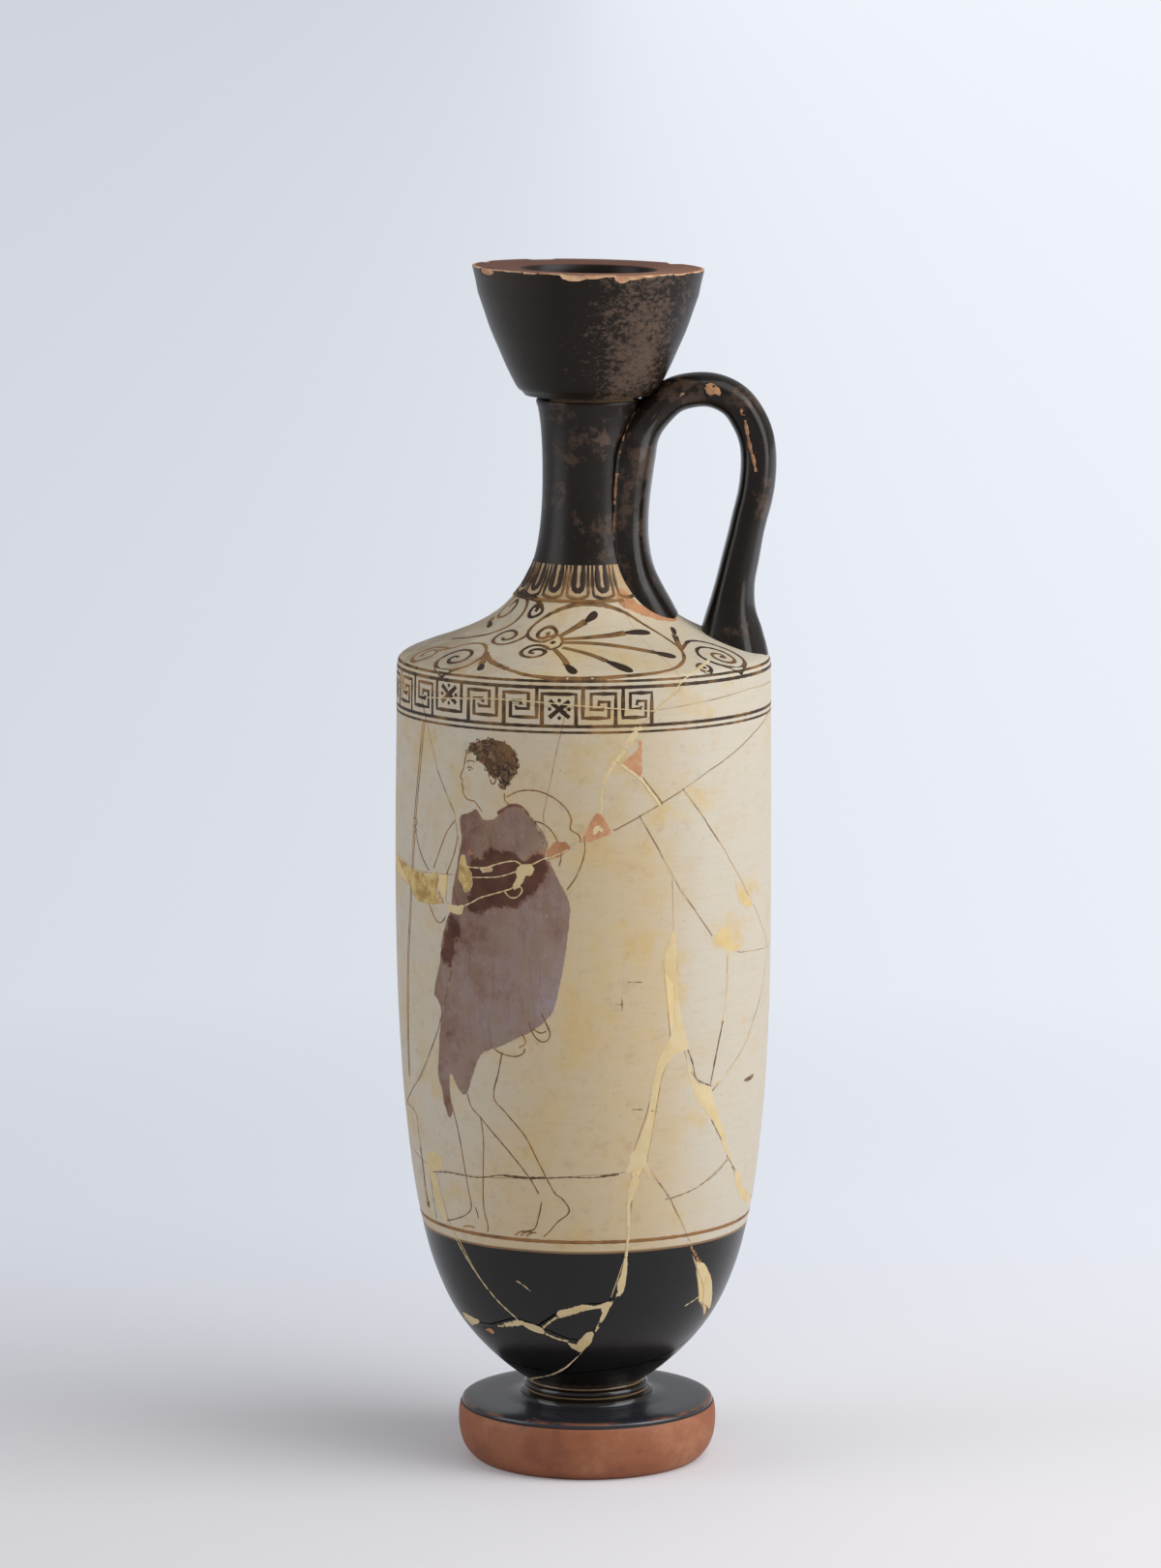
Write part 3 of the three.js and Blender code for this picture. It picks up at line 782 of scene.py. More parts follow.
def neck_material():
    """Black gloss with a worn patch above, bare slip where the tongue pattern begins."""
    p = Paint("neck_slips", specular=0.24)
    above = p.rise(p.z, 276.6, 0.25)
    off = p.minus(p.maths("ARCTAN2", p.y, p.x), math.radians(FRONT + 23))
    off = p.times(p.maths("ABSOLUTE", off), 14 * MM)
    away = p.maths("ABSOLUTE", p.times(p.minus(p.z, 314 * MM), 0.75))
    away = p.add(p.add(away, off), p.times(p.noise(260, 7, 0.8), 24 * MM))
    worn = p.minus(1.0, p.rise(away, 14.5, 2.5))
    black = p.mix(worn, gloss_colour(p, 0.60), (0.074, 0.048, 0.034))
    ridge = p.times(p.band(p.z, 325.4, 326.2, 0.3), p.rise(p.noise(120), 0.5, 0.06, 1))
    black = p.mix(ridge, black, (0.20, 0.13, 0.08))
    p.set("Base Color", p.mix(above, slip_colour(p), black))
    p.set("Roughness", p.scaled(above, -0.20, 0.54))
    p.turned_grain(420, 330)
    return p.material


def foot_material():
    """Red bare clay round the side, black gloss on the collar, and on the flat top a bluish grey that is a
    painted sheen on the black gloss.
    """
    p = Paint("foot_slips")
    above = p.rise(p.add(p.times(p.noise(120), 0.6 * MM), p.z), 17.15, 0.15)
    clay = [(0.34, (0.185, 0.052, 0.018)), (0.5, (0.245, 0.077, 0.028)), (0.70, (0.33, 0.13, 0.06))]
    clay = p.ramp(p.noise(45, 7, 0.7), *clay)
    clay = p.over(clay, p.noise(160, 6, 0.75), 0.55, 0.72, 0.55, (0.12, 0.055, 0.038))
    # Painted sheen: the flat top below the collar is a bluish grey rather than black
    flat = p.minus(1.0, p.rise(p.z, 18.9, 0.4))
    colour = p.mix(above, clay, p.mix(flat, gloss_colour(p, 0.68), (0.020, 0.022, 0.028)))
    colour = p.mix(p.band(p.z, 16.55, 16.95, 0.25), colour, (0.012, 0.008, 0.007))
    edge = p.times(p.band(p.z, 17.75, 18.25, 0.2), p.rise(p.noise(90), 0.46, 0.1, 1))
    colour = p.mix(edge, colour, (0.15, 0.06, 0.035))
    for low, high in ((20.95, 21.3), (23.55, 23.9)):
        colour = p.mix(p.times(p.band(p.z, low, high, 0.15), 0.8), colour, (0.30, 0.20, 0.10))
    p.set("Base Color", colour)
    p.set("Roughness", p.scaled(above, -0.46, 0.62))
    p.bump(p.noise(380, 5), 0.3, 0.15)
    return p.material


def build_foot():
    side = [(34.5, 0.0), (36.3, 1.5), (38.0, 4.0), (39.0, 7.0), (39.45, 10.5), (39.4, 14.0), (39.05, 16.2)]
    side = curve_through(side, 30)
    groove = [(38.7, 16.6), (38.35, 16.85), (38.55, 17.2), (38.4, 17.7), (37.9, 18.1), (37.1, 18.3)]
    top = [(33.0, 18.45), (26.0, 18.5), (20.9, 18.6), (20.4, 18.9), (20.2, 19.6), (20.2, 20.2), (19.5, 20.7),
           (18.7, 20.95), (18.4, 21.15), (18.9, 21.6), (19.1, 22.2), (18.9, 22.9), (18.3, 23.5),
           (17.7, 23.7), (17.6, 24.0)]
    profile = [(0.0, 4.0), (8.0, 3.0), (19.5, 0.3), (20.5, 0.0)] + side + groove + top
    profile += [(socket_radius, 24.0), (socket_radius, socket_floor), (0.0, socket_floor)]
    piece = turned("foot_disc", profile, 300)
    finish_piece(piece, foot_material(), 50)
    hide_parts("foot")


# Handle: centre line in the handle's plane, out from the axis and up, with depth and width there
handle_line = [
    (21.5, 257, 15, 27), (19.4, 261, 15, 29), (17.2, 264.5, 15.4, 29.5), (14.9, 268.5, 15.8, 28.5),
    (13.5, 273, 15.2, 27), (12.5, 279, 14.6, 26), (12.1, 286, 14.2, 25), (12.3, 294, 14.4, 25),
    (12.9, 302.5, 15.2, 25), (14.1, 310.6, 15.4, 24.5), (17.3, 317.2, 12.6, 20), (22.1, 322.7, 11.2, 16),
    (27.3, 326.6, 10.8, 14.4), (34.4, 328.1, 10.4, 13.8), (40.3, 327.3, 10.4, 14.2),
    (45.6, 324.2, 10.6, 14.6), (49.3, 319, 10.8, 15), (51.5, 313.4, 10.8, 15.4), (52.2, 307.5, 10.8, 15.8),
    (51.9, 301, 10.8, 16.2), (51, 295.3, 10.7, 16.5), (49.5, 289.5, 10.6, 16.8), (48.3, 284.1, 10.6, 17),
    (46.9, 277.6, 11.2, 17.3), (45.5, 271.1, 11.6, 17.6), (44.7, 266, 12.8, 18.6),
    (44.3, 262.3, 14.3, 20.2), (44.1, 258.7, 16.4, 22.3), (44.1, 255.1, 18.8, 24.6), (44, 252, 20.8, 26.4),
    (43.9, 248.5, 22.6, 27.6),
]
handle_steps = 170
handle_sides = 60
handle_curve = curve_through(handle_line, handle_steps)
strap_power = 0.88


def handle_frame(place):
    """Centre, depth, width and the way outwards at a place counted in steps of the curve."""
    i = min(max(int(place), 0), len(handle_curve) - 2)
    x, z, depth, width = (a + (b - a) * (place - i) for a, b in zip(handle_curve[i], handle_curve[i + 1]))
    before, after = handle_curve[max(i - 1, 0)], handle_curve[min(i + 2, len(handle_curve) - 1)]
    outward = Vector((before[1] - after[1], 0, after[0] - before[0])).normalized()
    return Vector((x, 0, z)), depth / 2, width / 2, outward


def handle_point(place, angle, lift=0.0):
    """angle 0 is the arch's outer face, -90 the side in view; the strap is lightly fluted lengthways."""
    centre, depth, width, outward = handle_frame(place)
    c, s = math.cos(math.radians(angle)), math.sin(math.radians(angle))
    flute = 1 + 0.035 * math.cos(math.radians(5 * angle)) * min(1.0, max(0.0, place / 40 - 2))
    across = math.copysign(abs(c) ** strap_power, c) * flute
    wide = math.copysign(abs(s) ** strap_power, s) * flute
    return (centre + outward * across * (depth + lift) + Vector((0, wide * (width + lift), 0))) * MM


def handle_side(x, z, lift):
    """The point of the side in view at that place in the handle's plane."""
    i = min(range(len(handle_curve)), key=lambda k: math.dist(handle_curve[k][:2], (x, z)))
    centre, depth, _, outward = handle_frame(i)
    off = Vector((x, 0, z)) - centre
    along = off.x * outward.z - off.z * outward.x
    step = math.dist(handle_curve[0][:2], handle_curve[1][:2])
    across = max(-0.97, min(0.97, off.dot(outward) / depth))
    angle = -math.degrees(math.acos(math.copysign(abs(across) ** (1 / strap_power), across)))
    return handle_point(min(max(i + along / step, 0), len(handle_curve) - 1), angle, lift)


def build_handle():
    bm = bmesh.new()
    rings = []
    for i in range(handle_steps):
        turns = [360 * k / handle_sides for k in range(handle_sides)]
        rings.append([bm.verts.new(handle_point(i, turn)) for turn in turns])
    for low, high in zip(rings, rings[1:]):
        for k in range(handle_sides):
            after = (k + 1) % handle_sides
            bm.faces.new((low[k], low[after], high[after], high[k]))
    bm.faces.new(rings[0])
    bm.faces.new(rings[-1])
    bmesh.ops.recalc_face_normals(bm, faces=bm.faces)
    piece = object_from(bm, "handle_strap")
    finish_piece(piece, HANDLE_GLOSS)
    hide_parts("handle")


# Painted strokes and patches
def stroke_rows(points, smooth, step):
    total = sum(math.dist(a, b) for a, b in zip(points, points[1:]))
    if smooth:
        return curve_through(points, max(4, int(total / step) + 2))
    rows = []
    for a, b in zip(points, points[1:]):
        parts = max(1, int(math.dist(a, b) / step))
        rows += [tuple(p + (q - p) * k / parts for p, q in zip(a, b)) for k in range(parts)]
    return rows + [points[-1]]


def inside(outline, u, v):
    """Whether the place lies within the closed outline."""
    crossings = 0
    for (u0, v0), (u1, v1) in zip(outline, outline[1:] + outline[:1]):
        if (v0 > v) != (v1 > v) and u < u0 + (u1 - u0) * (v - v0) / (v1 - v0):
            crossings += 1
    return crossings % 2 == 1


def distance_to(outline, u, v):
    """Least distance from the place to the closed outline."""
    least = 1e9
    for (u0, v0), (u1, v1) in zip(outline, outline[1:] + outline[:1]):
        du, dv = u1 - u0, v1 - v0
        along = ((u - u0) * du + (v - v0) * dv) / (du * du + dv * dv or 1.0)
        along = min(1.0, max(0.0, along))
        least = min(least, math.hypot(u - u0 - along * du, v - v0 - along * dv))
    return least


class Painting:
    """Collects raised strokes and flat patches of one paint into one mesh."""

    def __init__(self, name, place, material, slot, lift=0.05, facing=None):
        self.name, self.place, self.material, self.slot, self.lift = name, place, material, slot, lift
        self.facing = facing
        self.bm = bmesh.new()
        layers = [self.bm.verts.layers.float.new(name) for name in ("tone", "depth", "fold")]
        self.tone, self.depth, self.fold = layers

    def add(self, u, v, lift, tone, depth=0.0, fold=0.0):
        vertex = self.bm.verts.new(self.place(u, v, lift))
        vertex[self.tone] = tone
        vertex[self.depth] = depth
        vertex[self.fold] = fold
        return vertex

    def stroke(self, points, width, smooth=True, tone=0.0, end_width=None, end_tone=None, waver=0.10):
        rows = stroke_rows(points, smooth, 0.8 if smooth else 2.5)
        end_width = width if end_width is None else end_width
        end_tone = tone if end_tone is None else end_tone
        strip = []
        for i, (u, v) in enumerate(rows):
            before, after = rows[max(i - 1, 0)], rows[min(i + 1, len(rows) - 1)]
            du, dv = after[0] - before[0], after[1] - before[1]
            size = math.hypot(du, dv) or 1.0
            t = i / (len(rows) - 1)
            half = (width + (end_width - width) * t) / 2
            half *= 1 + waver * (math.sin(i * 0.9 + u) + 0.6 * math.sin(i * 2.3 + 2 * u))
            row = []
            for side, lift in ((-1.15, -0.04), (-0.85, self.lift), (0.85, self.lift), (1.15, -0.04)):
                shift = half * side
                depth = half if abs(side) < 1 else 0.0
                shade = tone + (end_tone - tone) * t
                row.append(self.add(u - dv / size * shift, v + du / size * shift, lift, shade, depth))
            strip.append(row)
        for low, high in zip(strip, strip[1:]):
            for k in range(3):
                self.bm.faces.new((low[k], high[k], high[k + 1], low[k + 1]))

    def patch(self, outline, smooth=True, grid=1.3, tone=0.0, rough=0.0, folds=()):
        """A flat area: an outline in surface millimetres, cut by a grid so that it follows the wall."""
        if smooth:
            total = sum(math.dist(a, b) for a, b in zip(outline, outline[1:] + outline[:1]))
            outline = curve_through(outline + outline[:1], max(12, int(total / 0.7)))[:-1]
        else:
            outline = stroke_rows(outline + outline[:1], False, 0.8)[:-1]
        if rough:
            outline = [(u + rng.uniform(-rough, rough), v + rng.uniform(-rough, rough)) for u, v in outline]
        flat = bmesh.new()
        flat.faces.new([flat.verts.new((u, v, 0)) for u, v in outline])
        bmesh.ops.triangulate(flat, faces=flat.faces[:])
        for axis in (0, 1):
            low = min(p[axis] for p in outline)
            high = max(p[axis] for p in outline)
            level = math.ceil(low / grid) * grid
            while level < high:
                at = [0, 0, 0]
                at[axis] = level
                normal = [0, 0, 0]
                normal[axis] = 1
                cut_by(flat, at, normal, 1e-5)
                level += grid
        made = {}
        for vertex in flat.verts:
            u, v, _ = vertex.co
            depth = 0.0 if vertex.is_boundary else distance_to(outline, u, v)
            fold = -5.0
            for area in folds:
                off = distance_to(area, u, v)
                fold = max(fold, off if inside(area, u, v) else -off)
            lift = min(self.lift, 0.3 * self.lift + 0.06 * depth)
            made[vertex] = self.add(u, v, lift, tone, depth, min(fold, 5.0))
        skirt = {v: self.add(v.co.x, v.co.y, -0.05, tone) for v in flat.verts if v.is_boundary}
        for face in flat.faces:
            self.bm.faces.new([made[v] for v in face.verts])
        for edge in flat.edges:
            if edge.is_boundary:
                a, b = edge.verts
                self.bm.faces.new((made[a], made[b], skirt[b], skirt[a]))
        flat.free()

    def finish(self):
        self.bm.normal_update()
        for face in self.bm.faces:
            middle = face.calc_center_median()
            if face.normal.dot(self.facing or Vector((middle.x, middle.y, 0.012))) < 0:
                face.normal_flip()
        piece = object_from(self.bm, self.name)
        finish_piece(piece, self.material)


def around(u, v, size, angles):
    return [(u + size * math.cos(a), v + size * math.sin(a)) for a in angles]


def degrees_to_arc(points):
    return [(math.radians(degrees) * body_radius, z) for degrees, z in points]


def full_ring(painting, z, width, tone):
    points = degrees_to_arc([(degrees, z) for degrees in range(-180, 181, 2)])
    painting.stroke(points, width, smooth=False, tone=tone)


# Meander: cells from the handle side round the front to the handle side, each with its kind
meander_edges = [22.0, 11.0, -1.1, -13.3, -26.2, -38.6, -51.2]
meander_edges += [-51.2 - 12.57 * k for k in range(1, 13)]
meander_kinds = ["key", "key", "cross_low", "mirrored_key", "mirrored_key", "cross_high"] * 3
key_width = 1.15
border_lines = [(246.9, 0.75, 0.04), (245.1, 1.0, 0.08), (233.6, 1.0, 0.08), (231.8, 0.75, 0.04)]
hooks = [
    [(0.07, 245.0), (0.07, 236.1), (0.71, 236.1), (0.71, 240.9), (0.46, 240.9), (0.46, 239.7)],
    [(0.88, 234.0), (0.88, 243.3), (0.27, 243.3), (0.27, 238.6), (0.57, 238.6), (0.57, 239.4)],
]


def build_bands():
    bands = Painting("band_lines", wall_point, LINES, "black_gloss")
    for level, width, tone in border_lines:
        full_ring(bands, level, width, tone)
    bands.finish()
    base = Painting("base_line", wall_point, BASE_LINE, "red_clay")
    full_ring(base, 77.1, 1.0, -0.05)
    base.finish()
    meander = Painting("meander_band", wall_point, LINES, "black_gloss")
    for kind, high, low in zip(meander_kinds, meander_edges, meander_edges[1:]):
        left, right = (math.radians(edge) * body_radius for edge in (low, high))
        if kind.endswith("key"):
            if kind == "mirrored_key":
                left, right = right, left
            for hook in hooks:
                key = [(left + (right - left) * u, z) for u, z in hook]
                meander.stroke(key, key_width, smooth=False, tone=0.07)
            continue
        foot, top, middle = (234.0, 243.2, 238.7) if kind == "cross_low" else (245.0, 236.2, 241.0)
        square = ((0.06, foot), (0.06, top), (0.9, top), (0.9, foot))
        square = [(left + (right - left) * u, z) for u, z in square]
        meander.stroke(square, key_width, smooth=False, tone=0.1)
        centre = left + (right - left) * 0.49
        for sign in (1, -1):
            cross = [(centre - 3.0, middle - 2.5 * sign), (centre + 3.0, middle + 2.5 * sign)]
            meander.stroke(cross, 1.4, smooth=False, tone=0.15)
        for du, dv in ((2.9, 0), (-2.9, 0), (0, 2.6), (0, -2.6)):
            turns = [i * math.pi / 3 for i in range(6)]
            meander.patch(around(centre + du, middle + dv, 0.6, turns), tone=0.15)
    meander.finish()


# Shoulder palmette: each leaf is a golden stem, then a dark drop to its tip; plan places, right and near
leaves = [
    ([(-7, 31.5), (0.3, 26.5)], (3.8, 23.5), 2.6),
    ([(-7, 33.4), (0, 33.2), (7, 31.5), (12, 29)], (19.7, 25.2), 2.8),
    ([(-6.3, 35.2), (8, 36.3), (21, 37)], (27.3, 37.5), 3.9),
    ([(-6.5, 37.8), (2, 42.5), (6.5, 46)], (14.3, 51.3), 3.8),
    ([(-8.9, 38.5), (-6, 45), (-5.2, 48.5)], (-2.6, 53.8), 3.2),
    ([(-29.3, 34), (-30, 38), (-30.3, 40.5)], (-30.8, 44.7), 2.6),
    ([(-27.6, 6), (-28.5, 8.5)], (-28.5, 14), 2),
    ([(28.9, 31), (27.6, 25), (27, 21.5)], (26.4, 16.2), 2),
]
tendrils = [
    ([(-12.8, 32), (-8, 31), (-6.5, 34), (-7.5, 37), (-10.5, 38.5)], 1.0, 0.05),
    ([(-12.5, 33.5), (-9.4, 32.2), (-8.3, 29.7), (-9.5, 27.3), (-11.5, 26.7), (-13.5, 28), (-13.9, 30),
      (-12.7, 31.4), (-10.9, 30.6), (-11.0, 28.9)], 1.25, 0.05),
    ([(-10.7, 38.2), (-11, 37.2), (-13, 35.2), (-16, 34.7), (-18.6, 37), (-18.3, 40), (-15.5, 42),
      (-12.5, 41.2), (-11.6, 39.2), (-13.2, 37.5), (-15.4, 37.3), (-16.2, 38.8), (-14.8, 39.6)], 1.3, 0.05),
    ([(-12.5, 33.5), (-15, 31.8), (-16.8, 29), (-16.6, 26), (-14.5, 23.6), (-11, 22.3), (-5, 21.8),
      (2, 21.6), (12, 21), (17, 22), (22, 24), (26, 27), (28.5, 30.5), (29.6, 35), (29.3, 39.5), (27.5, 44),
      (24.5, 47.5), (20, 50.5), (14, 53), (6, 55), (-2, 55.5), (-10, 54.5), (-17, 52), (-22, 48),
      (-26, 43.5), (-28.2, 39), (-29.3, 34.5), (-29.2, 30), (-30, 26), (-32.5, 23), (-36, 21.2),
      (-40, 20.6), (-43.6, 19.0)], 1.1, -0.05),
    ([(-29.1, 33), (-28.4, 38), (-26.4, 42.4), (-22.6, 47.2)], 1.7, 0.0),
    ([(-40, 20.6), (-42.2, 17), (-45.2, 13.2), (-49.4, 13.2), (-51.6, 17), (-50.4, 21.4), (-46.6, 22.4),
      (-44, 19.4), (-45.4, 16.2), (-48.2, 16.4), (-48.6, 18.8)], 1.1, -0.1),
    ([(-29.3, 33), (-30.5, 36), (-35, 39.5), (-40, 38.5), (-43.8, 34), (-43.8, 29), (-40.5, 26),
      (-36.5, 25.6), (-33.8, 28.5), (-33.7, 32), (-36, 34.8), (-39.5, 34), (-40.4, 31), (-38.5, 29.5),
      (-37.3, 31)], 1.2, 0.05),
    ([(-16.9, 27.5), (-18, 28.7), (-21, 30), (-24.5, 29.8), (-27, 27), (-27, 24), (-24.5, 22),
      (-21.5, 22.9), (-20.3, 25.5), (-21.6, 27.4), (-24, 27), (-24.4, 25.2)], 1.1, 0.0),
    ([(-19.5, 6), (-17.5, 11.5), (-14.5, 15.5), (-12.6, 19.5), (-13.5, 20.7), (-16, 20.3), (-16.6, 18.3),
      (-15, 17), (-13.9, 18.2), (-14.8, 19)], 1.1, 0.05),
    ([(-40, 9), (-35, 14.9), (-30, 18.4), (-25, 19.5), (-20.6, 18.4), (-17.4, 14.9), (-17.9, 9.9),
      (-19.9, 5.6)], 1.0, -0.05),
    ([(-19.9, 5.6), (-22.6, 4.6), (-25.6, 6.6), (-25.6, 10), (-23, 11.8), (-20.4, 10.2), (-20.8, 7.8),
      (-22.8, 7.4)], 1.0, 0.0),
    ([(29, 31), (30, 26.5), (31.5, 22), (35, 19), (39, 18), (43.5, 19), (46.8, 22), (48, 26), (46.5, 31),
      (43, 34), (39, 34.7), (35, 33), (33.5, 29), (34.5, 25), (37.5, 22.7), (41.5, 22.8), (44.7, 26),
      (44.3, 29.5), (41.5, 31.3), (38.5, 30), (38.3, 27.3), (40.5, 25.9), (42, 27.5),
      (41, 28.3)], 1.15, 0.08),
    (around(35.6, 40, 2.2, range(8)), 1.0, 0.08),
]
dots = [(-9.3, 34.5, 0.95), (35.6, 40, 0.8), (41, 28, 0.8)]


def leaf(painting, stem, tip, width):
    """A golden stem with darker edges that swells into a dark drop."""
    start = stem[-1]
    dx, dy = tip[0] - start[0], tip[1] - start[1]
    size = math.hypot(dx, dy)
    dx, dy = dx / size, dy / size
    painting.stroke(stem, 1.1, end_width=1.9, tone=-0.16, end_tone=-0.05)
    for side in (-1, 1):
        edge = []
        for i, (x, y) in enumerate(stem):
            shift = side * (0.5 + 0.4 * i / (len(stem) - 1))
            edge.append((x - dy * shift, y + dx * shift))
        painting.stroke(edge, 0.35, tone=0.08)
    drop = []
    for k in range(14):
        angle = 2 * math.pi * k / 14
        along = (0.5 - 0.5 * math.cos(angle)) * (size + 1.5) - 1.5
        side = math.sin(angle) * (0.42 + 0.58 * along / size) * width * 0.62
        drop.append((start[0] + dx * along - dy * side, start[1] + dy * along + dx * side))
    painting.patch(drop, grid=2.0, tone=0.3)


def build_shoulder_ornament(suffix, place):
    ornament = Painting("shoulder_tendrils" + suffix, place, LINES, "black_gloss")
    for stem, tip, width in leaves:
        leaf(ornament, stem, tip, width)
    for points, width, tone in tendrils:
        ornament.stroke(points, width, tone=tone)
    for x, y, size in dots:
        ornament.patch(around(x, y, size, (0, 1.57, 3.14, 4.71)), tone=0.3)
    ornament.finish()


# Tongue pattern at the root of the neck, in millimetres round a circle of this radius
tongue_circle = 17.5


def neck_point(arc, z, lift):
    collar = wall_radius(min(z, neck_seat)) + 0.06 - 0.5 * max(0.0, z - neck_seat)
    radius = lift + max(smooth_between(neck_outline, z), collar)
    turn = math.radians(FRONT) + arc / tongue_circle
    return leaned(Vector((radius * math.cos(turn), radius * math.sin(turn), z + lift * 0.3)) * MM)


def build_tongues():
    tongues = Painting("neck_tongues", neck_point, LINES, "black_gloss", 0.06)
    for k in range(-1, 10):
        u = math.radians(16.8 - 23.2 * k) * tongue_circle
        layers = [(2.85, 267.2, 0.75, 0.06), (1.3, 269.3, 1.4, 0.3)]
        for half, foot, width, tone in layers[:1] if k < 0 else layers:
            shell = [(-half, 276.7), (-half, foot + 1.8), (-half * 0.72, foot + 0.5), (0, foot)]
            shell += [(-x, z) for x, z in reversed(shell[:-1])]
            tongues.stroke([(u + x, z) for x, z in shell], width, tone=tone)
    points = [(math.radians(a) * tongue_circle, 266.5) for a in range(-210, 34, 3)]
    tongues.stroke(points, 0.7, smooth=False, tone=-0.05)
    tongues.finish()


# The cloaked youth, in degrees right of the front and height
cloak = [
    (-40.5, 205.5), (-36, 206.8), (-33.5, 208.2), (-31.5, 205.2), (-28, 205.3), (-25.5, 207.5),
    (-22.5, 209.5), (-19.5, 209.6), (-17, 207.5), (-14.5, 205), (-12, 202.5), (-10.5, 199), (-9.5, 193.5),
    (-7.5, 189), (-5.3, 184.5), (-3.6, 180), (-4.2, 172), (-5.5, 163), (-7.5, 153), (-9, 148), (-11, 145.5),
    (-14.5, 142.5), (-19, 140), (-25, 137), (-30, 135), (-33.5, 132.5), (-36, 127), (-38.5, 121.5),
    (-40, 119.8), (-42.5, 121.5), (-45.5, 126), (-46, 120), (-45.2, 115), (-47.5, 112), (-49.5, 116),
    (-50.5, 121), (-52, 125), (-51, 132), (-50, 139), (-49, 145), (-51, 148.5), (-52.3, 149.5), (-51, 155),
    (-49, 160), (-48.3, 166), (-46, 173), (-44, 177), (-43, 183), (-41, 192), (-39.8, 198), (-40.2, 202),
]
cloak_dark = [
    [(-37.5, 178.5), (-37, 183), (-36.5, 187), (-36.5, 190.5), (-35.5, 194.5), (-33, 192.8), (-31, 194),
     (-29, 197), (-25, 196.8), (-21, 195.6), (-18, 193.8), (-14.5, 196.2), (-11, 196), (-10.2, 192),
     (-11.5, 188), (-14, 184.5), (-17, 181.5), (-20, 179), (-25, 178), (-31, 177.3), (-36, 176.3)],
    [(-44.8, 175.3), (-39.8, 175), (-40.7, 168.8), (-42, 163.4), (-44, 159), (-47.8, 158.6), (-48.7, 162.5),
     (-46.3, 169.5)],
]
cloak_edge = [
    (-26.5, 206.8), (-22.5, 209.4), (-19, 209.4), (-15.8, 206.2), (-13.6, 203.2), (-11.6, 198),
    (-10.4, 193.5),
]
hair = [
    (-37.8, 224.6), (-36, 227), (-32, 228.6), (-28, 229), (-24, 228.2), (-21, 226), (-19.8, 222.5),
    (-20.5, 219), (-22.5, 216.3), (-25, 213.6), (-26, 214.5), (-25.6, 217.5), (-27.5, 217), (-29.8, 218.5),
    (-31, 220.5), (-33.4, 222), (-34.5, 224), (-36.3, 224.3),
]
figure_lines = [
    [(-37.6, 224.4), (-38.3, 221.6), (-38.8, 219.4), (-40, 216.8), (-39, 215.8)],
    [(-39.2, 215.4), (-39.5, 214.5), (-38.7, 213.8), (-39.1, 213), (-38.5, 211.6), (-37.2, 210.3),
     (-34.6, 210)],
    [(-37.3, 219.7), (-36.4, 220.1), (-35.2, 219.4)],
    [(-37.6, 221.4), (-36.4, 222), (-34.6, 221.7)],
    [(-34.6, 210), (-33.2, 208.6), (-31.8, 207)],
    [(-24.3, 213), (-24, 210.8), (-22.6, 209.8)],
    [(-28.6, 218.6), (-27.2, 218.2), (-27.4, 216), (-28.6, 215.6), (-29, 217)],
    [(-42, 203.5), (-45.5, 199.5), (-48.5, 194), (-51.5, 188)],
    [(-40.8, 199), (-42.5, 193), (-45.5, 187)],
    [(-62, 199), (-60.5, 195), (-58, 191), (-54, 187)],
    [(-63.5, 201.5), (-61.5, 201.8), (-61, 200), (-63, 199.4), (-61, 198.4), (-62.6, 197.4)],
    [(-54, 177), (-50.5, 172.5), (-48, 172), (-46, 174)],
    [(-25.6, 135), (-27, 129), (-29, 121), (-25, 116.5), (-19, 110), (-15, 102.5), (-10, 93), (-7.5, 91),
     (-5.2, 88), (-5.6, 86), (-9, 83.5), (-11.5, 80.8), (-14, 78.6)],
    [(-39, 121), (-37.5, 117), (-34, 114), (-30.5, 110.5), (-24, 104), (-18, 97), (-15, 92)],
    [(-14.2, 89.5), (-15.2, 85.5), (-17, 81), (-20, 80)],
    [(-46, 117), (-44, 110), (-42.5, 100), (-41.3, 90), (-41, 85.4), (-44, 82.6), (-50, 80.4), (-55, 79.2)],
    [(-34.3, 114.5), (-33.6, 108), (-34.5, 98), (-35.5, 88), (-35.3, 83.5), (-34.7, 81), (-35, 78.4)],
    [(-24.2, 78.4), (-22.4, 79.6), (-19.6, 80)],
    [(-22.2, 78.4), (-20.6, 79.6), (-18, 79.8)],
    [(-20.2, 78.4), (-18.6, 79.4), (-16.6, 79.8)],
    [(-46, 78.6), (-43, 79.2), (-40.5, 79)],
    [(-39.2, 85.6), (-38.6, 84), (-38.4, 82.2)],
    [(-12.9, 148), (-11.3, 144.5), (-10.2, 141.5), (-11, 139.5), (-13, 139), (-15.3, 141), (-16.7, 144.5)],
    [(-15.2, 142.6), (-13.2, 141.6), (-11.4, 142.2)],
    [(-18.8, 141), (-17.8, 138.4), (-20, 136.8)],
    [(-28.5, 136), (-25.8, 134.6), (-21.5, 134), (-18.6, 135.2), (-18.2, 136.6)],
    [(-23.5, 212), (-20, 213.8), (-16, 214.4), (-12, 213.8), (-8, 211.8), (-5, 209), (-3.6, 206),
     (-3.9, 203.2), (-1.4, 201.4), (-0.6, 199)],
    [(-14.5, 205.2), (-12, 204.5), (-9.5, 202.5), (-7.5, 199), (-6.6, 195), (-7.2, 192)],
    [(0.2, 201), (0.4, 196), (-1.8, 189.5), (-4.8, 185)],
]
spear = [
    (-57.2, 231.4), (-58.8, 222), (-60.4, 212), (-61.8, 204), (-63.2, 192), (-65.2, 176), (-68, 158),
    (-70, 140), (-72.2, 121),
]


